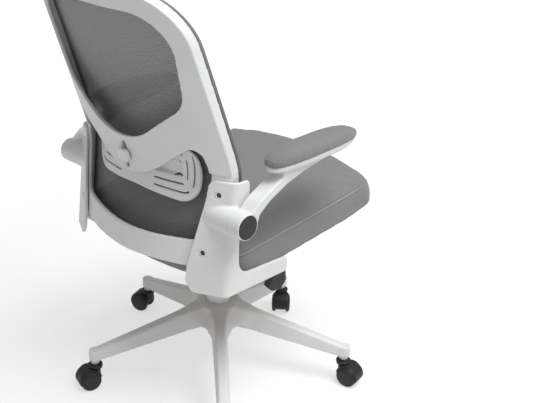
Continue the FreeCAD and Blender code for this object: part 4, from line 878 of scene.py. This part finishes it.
ARM_JOINT, JOINT_SHARP = 0.2622, (0.0015, 0.005)
ARM_BELOW_PAD, ARM_SHELL, ARM_INSET = 0.001, 0.0125, 0.006
ARM_VOXEL, ARM_JOINED_VOXEL = 0.0011, 0.0012
ARM_FILLETS, ARM_SOFTEN = 60, 8


def joint_edge(points):
    """0 at the joint between a bracket's boss and the arm, whose edges stay sharp, and 1 elsewhere."""
    return softstep(np.abs(np.abs(points[:, 0]) - ARM_JOINT), *JOINT_SHARP)


def arm(side):
    """The arm with its tray, the two run together."""
    node = f"arm_{side}"
    piece = copied(node)
    points = read_points(piece.data)
    top = pad_levels(side, points[:, 1])[0] - ARM_BELOW_PAD
    middle, edge = pad_loop(side, TRAY_INSET + ARM_INSET)
    half = np.abs(edge - middle).max(0)
    along = np.clip(np.abs(points[:, 1] - middle[1]) / half[1], 0, 1)
    width = half[0] * (1 - along ** PAD_ROUND) ** (1 / PAD_ROUND)
    shell = points[:, 2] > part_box(f"arm_pad_{side}")[0].z - ARM_SHELL
    points[shell, 0] = np.clip(points[:, 0], middle[0] - width, middle[0] + width)[shell]
    points[shell, 1] = np.clip(points[:, 1], middle[1] - half[1], middle[1] + half[1])[shell]
    points[shell, 2] = np.minimum(points[:, 2], top)[shell]
    write_points(piece.data, points)
    remeshed(piece, ARM_VOXEL)
    hull = tray(side)
    points = np.vstack([read_points(piece.data), read_points(hull.data)])
    first = len(piece.data.vertices)
    faces = mesh_faces(piece.data) + [tuple(i + first for i in face) for face in mesh_faces(hull.data)]
    bpy.data.objects.remove(hull)
    bpy.data.objects.remove(piece)
    piece = new_piece(f"{node}_moulded", points, faces)
    remeshed(piece, ARM_JOINED_VOXEL)
    weight = joint_edge(read_points(piece.data))
    fill_corners(piece.data, ARM_FILLETS, weight)
    relax(piece.data, ARM_SOFTEN, False, weight)
    relax(piece.data, ARM_SOFTEN, True, weight)
    stand_for(piece, node)


# Back mesh
BACK_HALF = 0.242
BACK_TOP, BACK_LOW = 0.9915, 0.4125
BACK_CURVE = 0.44707
LUMBAR_LEVEL, LUMBAR_BACK, LUMBAR_BLEND = 0.608, 0.258, 0.03
LOWER_LEAN, UPPER_LEAN = 0.12, 0.32
RIM_DEPTH, MESH_DEPTH, MESH_END_DEPTH = 0.017, 0.052, 0.03
MESH_THICK, MESH_EDGE = 0.003, 0.008
RIB_PITCH, RIB_HEIGHT = 0.0043, 0.00045
MESH_INSET, MESH_COLUMNS, MESH_SPAN = 0.0055, 57, BACK_HALF + 0.008
MESH_FRONT, MESH_REAR = (MESH_THICK, MESH_EDGE * 0.6), (0.0008, MESH_EDGE * 0.35)
ROLL_INSET, ROLL_WIDE, ROLL_DEEP, ROLL_STEP, ROLL_SIDES = 0.0022, 0.0034, 0.0052, 0.004, 16
ROLL_SOFT, ROLL_PROUD = 0.02, 0.0006


def back_center(z):
    """Y of the rear face of the back on the middle line."""
    rise = np.asarray(z, dtype=float) - LUMBAR_LEVEL
    bent = (LUMBAR_BACK + LOWER_LEAN * LUMBAR_BLEND - LOWER_LEAN * (rise + LUMBAR_BLEND)
            + (LOWER_LEAN + UPPER_LEAN) * (rise + LUMBAR_BLEND) ** 2 / (4 * LUMBAR_BLEND))
    outer = np.where(rise < 0, LUMBAR_BACK - LOWER_LEAN * rise, LUMBAR_BACK + UPPER_LEAN * rise)
    return np.where(np.abs(rise) < LUMBAR_BLEND, bent, outer)


def fall(x, radius):
    """How far an arc falls away at a distance from its middle."""
    return radius - np.sqrt(radius ** 2 - np.asarray(x) ** 2)


def mesh_surface(x, z, more_middle=0.0, more_edge=0.0):
    """Y of the mesh at a depth beyond its rear face."""
    middle = (BACK_TOP + BACK_LOW) / 2
    part = np.minimum(1, np.abs(z - middle) / (BACK_TOP - middle))
    deep = MESH_DEPTH - (MESH_DEPTH - MESH_END_DEPTH) * part ** 2 + more_middle
    at_middle = back_center(z) - deep
    sag = fall(MESH_SPAN, BACK_CURVE) + RIM_DEPTH + more_edge - deep
    radius = (MESH_SPAN ** 2 + sag ** 2) / (2 * sag)
    return at_middle - fall(x, radius)


def back_loop(inset=0.0):
    """Outline of the back seen from the front."""
    half = BACK_HALF - inset
    return rounded(mirrored([
        (0, BACK_TOP - inset, 0.6), (half - 0.02, BACK_TOP - inset - 0.016, 0.108 - inset),
        (half, SEAT_LEVEL + 0.24, 0.5), (half - 0.02, BACK_LOW + inset + 0.01, 0.06 - inset),
        (0, BACK_LOW + inset, 0.9)]))


def back_mesh():
    """A thin knitted sheet with a rib every few millimetres, stretched over the rim."""
    loop = back_loop(MESH_INSET)
    right = loop[loop[:, 0] >= -1e-6]
    right = right[np.argsort(right[:, 1])]
    step = RIB_PITCH / 4
    levels = np.arange(right[0, 1] + step / 2, right[-1, 1], step)
    widths = np.interp(levels, right[:, 1], right[:, 0])
    columns = np.linspace(-1, 1, MESH_COLUMNS)
    x = widths[:, None] * columns[None, :]
    z = np.repeat(levels[:, None], len(columns), axis=1)
    rib = RIB_HEIGHT * -np.cos(2 * math.pi * z / RIB_PITCH)
    front = np.stack([x, mesh_surface(x, z, *MESH_FRONT) - rib, z], axis=-1)
    rear = np.stack([x, mesh_surface(x, z, *MESH_REAR) + rib, z], axis=-1)
    rows, cols = x.shape
    points = np.concatenate([front.reshape(-1, 3), rear.reshape(-1, 3)])
    shift = rows * cols
    faces = []
    for r in range(rows - 1):
        for c in range(cols - 1):
            a = r * cols + c
            faces.append((a, a + 1, a + cols + 1, a + cols))
            faces.append((shift + a, shift + a + cols, shift + a + cols + 1, shift + a + 1))
    border = list(range(cols)) + [r * cols + cols - 1 for r in range(1, rows)]
    border += [(rows - 1) * cols + c for c in range(cols - 2, -1, -1)]
    border += [r * cols for r in range(rows - 2, 0, -1)]
    for here, there in zip(border, border[1:] + border[:1]):
        faces.append((there, here, shift + here, shift + there))
    piece = new_piece("back_mesh_knit", points, faces)
    stand_for(piece, "back_mesh")


def mesh_edge():
    """The rolled edge of the mesh, along the front of the rim."""
    flat = softened_loop(resampled(back_loop(ROLL_INSET), ROLL_STEP), ROLL_SOFT, ROLL_STEP)
    out = to_right(headings(flat))
    y = mesh_surface(flat[:, 0], flat[:, 1], 0.0, MESH_EDGE / 2) - ROLL_PROUD
    rings = []
    for angle in full_turn(ROLL_SIDES):
        edge = flat + out * ROLL_WIDE * math.cos(angle)
        rings.append(np.column_stack([edge[:, 0], y + ROLL_DEEP * math.sin(angle), edge[:, 1]]))
    piece = new_piece("back_mesh_edge", np.concatenate(rings), ring_faces(rings, closed=True))
    add_to(piece, "seat", EDGE_SHADED_LOOK)


# Lumbar pad
LUMBAR_OFFSET, LUMBAR_THICK = 0.023, 0.004
LUMBAR_MIDDLE, LUMBAR_HOLLOW = 0.613, 0.006
HOLLOW_START, HOLLOW_END, HOLLOW_TALL = (0.03, 0.07), (0.131, 0.112), (0.0195, 0.0135)
LUMBAR_EDGE, SLOT_HALF = 0.003, 0.0016
LUMBAR_CORNERS = [
    (0, 0.638, 0.2), (0.161, 0.674, 0.036), (0.168, 0.606, 0.2), (0.161, 0.5395, 0.044), (0, 0.549, 0.3)]
LUMBAR_SLOTS = (
    ((0.1545, 0.645), (0.1545, 0.632), (0.153, 0.612), (0.1515, 0.594), (0.1497, 0.578)),
    ((0.1385, 0.633), (0.1377, 0.618), (0.137, 0.604), (0.1361, 0.592)),
    ((0.055, 0.563), (0.099, 0.562), (0.124, 0.561), (0.134, 0.5613), (0.1405, 0.565)),
    ((0.055, 0.579), (0.102, 0.579), (0.1265, 0.579)),
    ((0.08, 0.652), (0.11, 0.656), (0.146, 0.6575)),
    ((0.075, 0.642), (0.105, 0.645), (0.132, 0.646)),
    ((0.104, 0.6305), (0.116, 0.63), (0.124, 0.628)),
    ((0.106, 0.595), (0.115, 0.5985), (0.1235, 0.597)))


def lumbar_rear(x, z):
    """Y of the pad's rear face, with a hollow towards each end."""
    wide = softstep(np.abs(x), *HOLLOW_START) * softstep(np.abs(x), *HOLLOW_END)
    tall = softstep(np.abs(z - LUMBAR_MIDDLE), *HOLLOW_TALL)
    return back_center(z) - LUMBAR_OFFSET - fall(x, BACK_CURVE) - LUMBAR_HOLLOW * wide * tall


def lumbar_pad():
    """The curved plate with its slots, the same on both sides."""
    outline = rounded(mirrored(LUMBAR_CORNERS))
    slots = [flowing(path) for path in LUMBAR_SLOTS]
    slots += [path * (-1, 1) for path in slots]
    piece = plate("lumbar_pad_slotted", outline, slots, SLOT_HALF, lumbar_rear, LUMBAR_THICK, LUMBAR_EDGE)
    stand_for(piece, "lumbar_pad")


# Casters
WHEEL_PROFILE = (
    (0.001, -0.0083), (0.0125, -0.0083), (0.0133, -0.0075), (0.0138, -0.003), (0.0235, -0.0015),
    (0.0248, -0.0004), (0.025, 0.0008), (0.0249, 0.003), (0.0243, 0.0047), (0.0232, 0.0062), (0.0217, 0.0074),
    (0.0205, 0.0079), (0.0202, 0.0072), (0.0193, 0.0072), (0.019, 0.008), (0.0185, 0.0083), (0.012, 0.009),
    (0.006, 0.0093), (0.001, 0.0094))
COLLAR_PROFILE = (
    (0.0095, 0.0596), (0.0163, 0.0596), (0.0174, 0.0589), (0.0176, 0.058), (0.0176, 0.0555), (0.0172, 0.0548),
    (0.0166, 0.0545), (0.0166, 0.0506), (0.012, 0.0504))
HOOD_EDGE, HOOD_KEEP, HOOD_SHOULDER = 0.0247, 0.0165, 0.01
HOOD_DRAW, HOOD_DRAW_RADII = 0.62, (0.014, 0.026)
HOOD_ROUND, HOOD_ROUND_RADII, HOOD_NECK = 0.0018, (0.02, 0.026), (0.053, 0.05)
HOOD_FOOT, HOOD_MIDDLE, HOOD_TOP_BAND = 0.0165, 0.03, 0.001


def caster(letter):
    """Wheels with a rounded tread and a domed cap, under a barrel-shaped hood with a collar."""
    centres = []
    for side in "ab":
        low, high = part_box(f"caster_wheel_{letter}_{side}")
        centres.append(np.array((low + high) / 2))
    axis = (centres[1] - centres[0]) / np.linalg.norm(centres[1] - centres[0])
    middle = (centres[0] + centres[1]) / 2
    for side, centre, outward in (("a", centres[0], -axis), ("b", centres[1], axis)):
        node = f"caster_wheel_{letter}_{side}"
        wheel = turned(f"{node}_domed", WHEEL_PROFILE, centre, outward)
        stand_for(wheel, node)
    hood = moulded(f"caster_hood_{letter}", cell=0.001, fillets=6, soften=3)
    points = read_points(hood.data)
    along = (points - middle) @ axis
    spoke = points - middle - np.outer(along, axis)
    radius = np.linalg.norm(spoke, axis=1)
    beyond = np.clip(np.abs(along) - HOOD_KEEP, 0, None)
    draw = HOOD_DRAW * softstep(radius, *HOOD_DRAW_RADII)
    to_end = np.clip((np.abs(along) - HOOD_SHOULDER) / (HOOD_EDGE - HOOD_SHOULDER), 0, 1)
    round_off = HOOD_ROUND * to_end ** 2 * softstep(radius, *HOOD_ROUND_RADII)
    round_off *= softstep(points[:, 2], *HOOD_NECK)
    points -= np.outer(np.sign(along) * beyond * draw, axis)
    points -= spoke * (round_off / np.maximum(radius, 1e-6))[:, None]
    lift = (HOOD_MIDDLE - HOOD_FOOT) / (HOOD_MIDDLE - points[:, 2].min())
    points[:, 2] = np.maximum(points[:, 2], HOOD_MIDDLE - (HOOD_MIDDLE - points[:, 2]) * lift)
    write_points(hood.data, points)
    stem = points[points[:, 2] > points[:, 2].max() - HOOD_TOP_BAND].mean(0)
    collar = turned(f"caster_collar_{letter}", COLLAR_PROFILE, (stem[0], stem[1], 0), (0, 0, 1))
    add_to(collar, BODY_OF[f"caster_hood_{letter}"], LOOKS["nylon"])


# Tension spring
SPRING_TURNS, SPRING_WIRE = 5, 0.002


def tension_spring():
    """A round coil for the tension spring, which on the chair shortens as the seat tilts."""
    low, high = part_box("tension_spring")
    middle = (low + high) / 2
    radius = (high.x - low.x) / 2 - SPRING_WIRE
    turn = np.linspace(0, 2 * math.pi * SPRING_TURNS, 40 * SPRING_TURNS)
    rise = np.linspace(low.z + SPRING_WIRE, high.z - SPRING_WIRE, len(turn))
    path = np.column_stack([middle.x + radius * np.cos(turn), middle.y + radius * np.sin(turn), rise])
    piece = tube("tension_spring_coil", path, SPRING_WIRE)
    stand_for(piece, "tension_spring")
    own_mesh(piece)


# Moulded plastic pieces
LEG_COUNT, LEG_FIRST, LEG_HALF = 5, math.radians(66.87), 0.0185
WEB_ROUND, WEB_TOP_SHARE, WEB_LOW, WEB_HIGH, WEB_END = 0.055, 0.4, 0.05, 0.004, 0.03
HUB_REACH, HUB_LOW, HUB_FOOT, HUB_DRAW = 0.074, 0.045, 0.014, 0.4
HUB_BLEND, HUB_NEAR = 0.004, (0.11, 0.07)
BASE_CELL, BASE_FILLETS = 0.002, 100
SCREWS = ((0.22, 0.5812), (0.2, 0.4573))
SCREW_HOLE, SCREW_NEAR, SCREW_SHARP = 0.0044, 0.016, (0.007, 0.012)
DISH_WIDTH, DISH_DEPTH, DISH_REACH, DISH_BAND = 0.0042, 0.002, 0.009, 0.012
REAR_FACING = 0.4


def web_fillets(points, normals):
    """Round the walls between neighbouring legs, more at the foot than at the top."""
    half_turn = math.pi / LEG_COUNT
    reach = (LEG_HALF + WEB_ROUND) / math.sin(half_turn)
    limit = reach - WEB_ROUND * math.sin(half_turn)
    top = points[:, 2].max()
    share = 1 - (1 - WEB_TOP_SHARE) * softstep(points[:, 2], top - WEB_LOW, top - WEB_HIGH)
    moved = points.copy()
    for leg in range(LEG_COUNT):
        turn = LEG_FIRST + (2 * leg + 1) * half_turn
        between = np.array([math.cos(turn), math.sin(turn)])
        along = points[:, :2] @ between
        sector = along > math.cos(half_turn) * np.hypot(points[:, 0], points[:, 1])
        to_middle = between * reach - points[:, :2]
        away = np.linalg.norm(to_middle, axis=1)
        to_middle /= away[:, None]
        facing = np.clip(2 * (normals[:, :2] * to_middle).sum(1), 0, 1)
        amount = np.clip(away - WEB_ROUND, 0, None) * share * facing
        amount *= softstep(along, limit, limit - WEB_END)
        moved[sector, :2] += (to_middle * amount[:, None])[sector]
    return moved


def star_base():
    """The base with wide fillets between its legs and the foot of the hub drawn in."""
    piece = copied("star_base")
    crisp(piece, BASE_CELL)
    points = web_fillets(read_points(piece.data), point_normals(piece.data))
    radius = np.hypot(points[:, 0], points[:, 1])
    hub = (radius < HUB_REACH) & (points[:, 2] < points[:, 2].max() - HUB_LOW)
    foot = points[hub, 2].min() + HUB_FOOT
    draw = np.where(hub, HUB_DRAW * softstep(points[:, 2], foot + HUB_BLEND, foot - HUB_BLEND), 0)
    points[:, :2] *= 1 - draw[:, None]
    write_points(piece.data, points)
    near_hub = softstep(radius, *HUB_NEAR)
    relax(piece.data, 12, False, near_hub)
    fill_corners(piece.data, BASE_FILLETS)
    relax(piece.data, 4, keep_volume=False)
    relax(piece.data, 8)
    stand_for(piece, "star_base")


def bracket_edges(points):
    """0 where a bracket's edges stay sharp: at the arm's joint and at the screws' recesses."""
    keep = joint_edge(points)
    for x, z in SCREWS:
        keep *= softstep(np.hypot(np.abs(points[:, 0]) - x, points[:, 2] - z), *SCREW_SHARP)
    return keep


def screw_dishes(mesh):
    """A shallow dish round each screw of a bracket."""
    points, normals = read_points(mesh), point_normals(mesh)
    for x, z in SCREWS:
        away = np.hypot(np.abs(points[:, 0]) - x, points[:, 2] - z)
        rear = normals[:, 1] > REAR_FACING
        level = points[rear & (away < SCREW_NEAR), 1].max()
        share = rear * (away < DISH_REACH) * (away > SCREW_HOLE) * (points[:, 1] > level - DISH_BAND)
        deep = DISH_DEPTH * np.clip(1 - ((away - SCREW_HOLE) / DISH_WIDTH) ** 2, 0, 1)
        points -= normals * (share * deep)[:, None]
    write_points(mesh, points)


def moulded_pieces():
    """The rigid pieces that are drawn anew, each with its cell size, fillets and softening."""
    star_base()
    moulded("back_frame", cell=0.002, fillets=12, soften=3)
    moulded("lever_paddle", cell=0.0008, soften=30)
    moulded("tension_knob", cell=0.0012, soften=3)
    for side in SIDES:
        bracket = moulded(f"bracket_{side}", cell=0.0012, fillets=25, soften=4, sharp_at=bracket_edges)
        screw_dishes(bracket.data)
        arm(side)
    for letter in "abcde":
        caster(letter)


# Stage, light and camera
def floor_look():
    """A matte floor that the camera sees as white, with a paler shadow on it."""
    look = Look("floor_look")
    nodes, links = look.tree.nodes, look.tree.links
    speck = look.ranged(look.noise(2.0), 0.78, 0.8)
    matte = look.node("BsdfDiffuse", {"Color": look.node("CombineColor", {0: speck, 1: speck, 2: speck})})
    away = look.node("VectorMath", {0: look.place}, output=1, operation="LENGTH")
    glow = look.node("Emission", {"Color": (1, 1, 1, 1), "Strength": look.ranged(away, 0.6, 1.0, 1.0, 3.0)})
    shown = look.node("AddShader", {0: look.node("BsdfDiffuse", {"Color": (0.42, 0.42, 0.42, 1)}), 1: glow})
    path = nodes.new("ShaderNodeLightPath").outputs
    seen = look.math("MAXIMUM", path["Is Camera Ray"], path["Is Glossy Ray"])
    seen = look.math("MAXIMUM", seen, path["Is Transmission Ray"])
    mixed = look.node("MixShader", {0: seen, 1: matte, 2: shown})
    links.new(mixed, nodes["Material Output"].inputs["Surface"])
    nodes.remove(look.surface)
    return look.material


FLOOR_HALF = 90
SKY_STRENGTH = 0.4
LAMP_PLACE, LAMP_AIM = Vector((-1.8, -0.1, 3.9)), Vector((0, 0, 0.4))
LAMP_SIZE, LAMP_POWER = 2.6, 150


def aimed(name, data, place, way):
    """A lamp or a camera at a place, facing a way."""
    thing = linked(name, data)
    thing.location = place
    thing.rotation_euler = way.to_track_quat("-Z", "Y").to_euler()
    return thing


def stage():
    """The floor, an even sky and one large soft lamp."""
    corners = [(FLOOR_HALF * x, FLOOR_HALF * y, 0) for x, y in ((-1, -1), (1, -1), (1, 1), (-1, 1))]
    floor = new_piece("floor", corners, [(0, 1, 2, 3)])
    floor.data.materials.append(floor_look())

    world = bpy.data.worlds.new("studio")
    world.use_nodes = True
    scene.world = world
    sky = world.node_tree.nodes["Background"]
    sky.inputs["Color"].default_value = (1, 1, 1, 1)
    sky.inputs["Strength"].default_value = SKY_STRENGTH

    lamp = bpy.data.lights.new("key", "AREA")
    lamp.shape = "DISK"
    lamp.size = LAMP_SIZE
    lamp.energy = LAMP_POWER
    aimed("key", lamp, LAMP_PLACE, LAMP_AIM - LAMP_PLACE)


CAMERA_PLACE = Vector((-1.369784, 1.297152, 1.266921))
CAMERA_WAY = Vector((0.674905, -0.625156, -0.392025))


def camera():
    """The camera as fitted to the photo."""
    lens = bpy.data.cameras.new("camera")
    lens.sensor_width = 36
    lens.lens = 58.386
    lens.shift_x, lens.shift_y = 0.1161, -0.0210
    lens.clip_end = 100
    scene.camera = aimed("camera", lens, CAMERA_PLACE, CAMERA_WAY)


cushion = seat_cushion()
seam_piping(cushion)
for side in SIDES:
    arm_pad(side)
back_mesh()
mesh_edge()
lumbar_pad()
tension_spring()
moulded_pieces()
for node, thing in NODES.items():
    dress(thing, LOOKS[SLOT_OF[node]])
dress(NODES["back_screws"], LOOKS["black_steel"])
stage()
camera()
scene.view_settings.view_transform = "Standard"
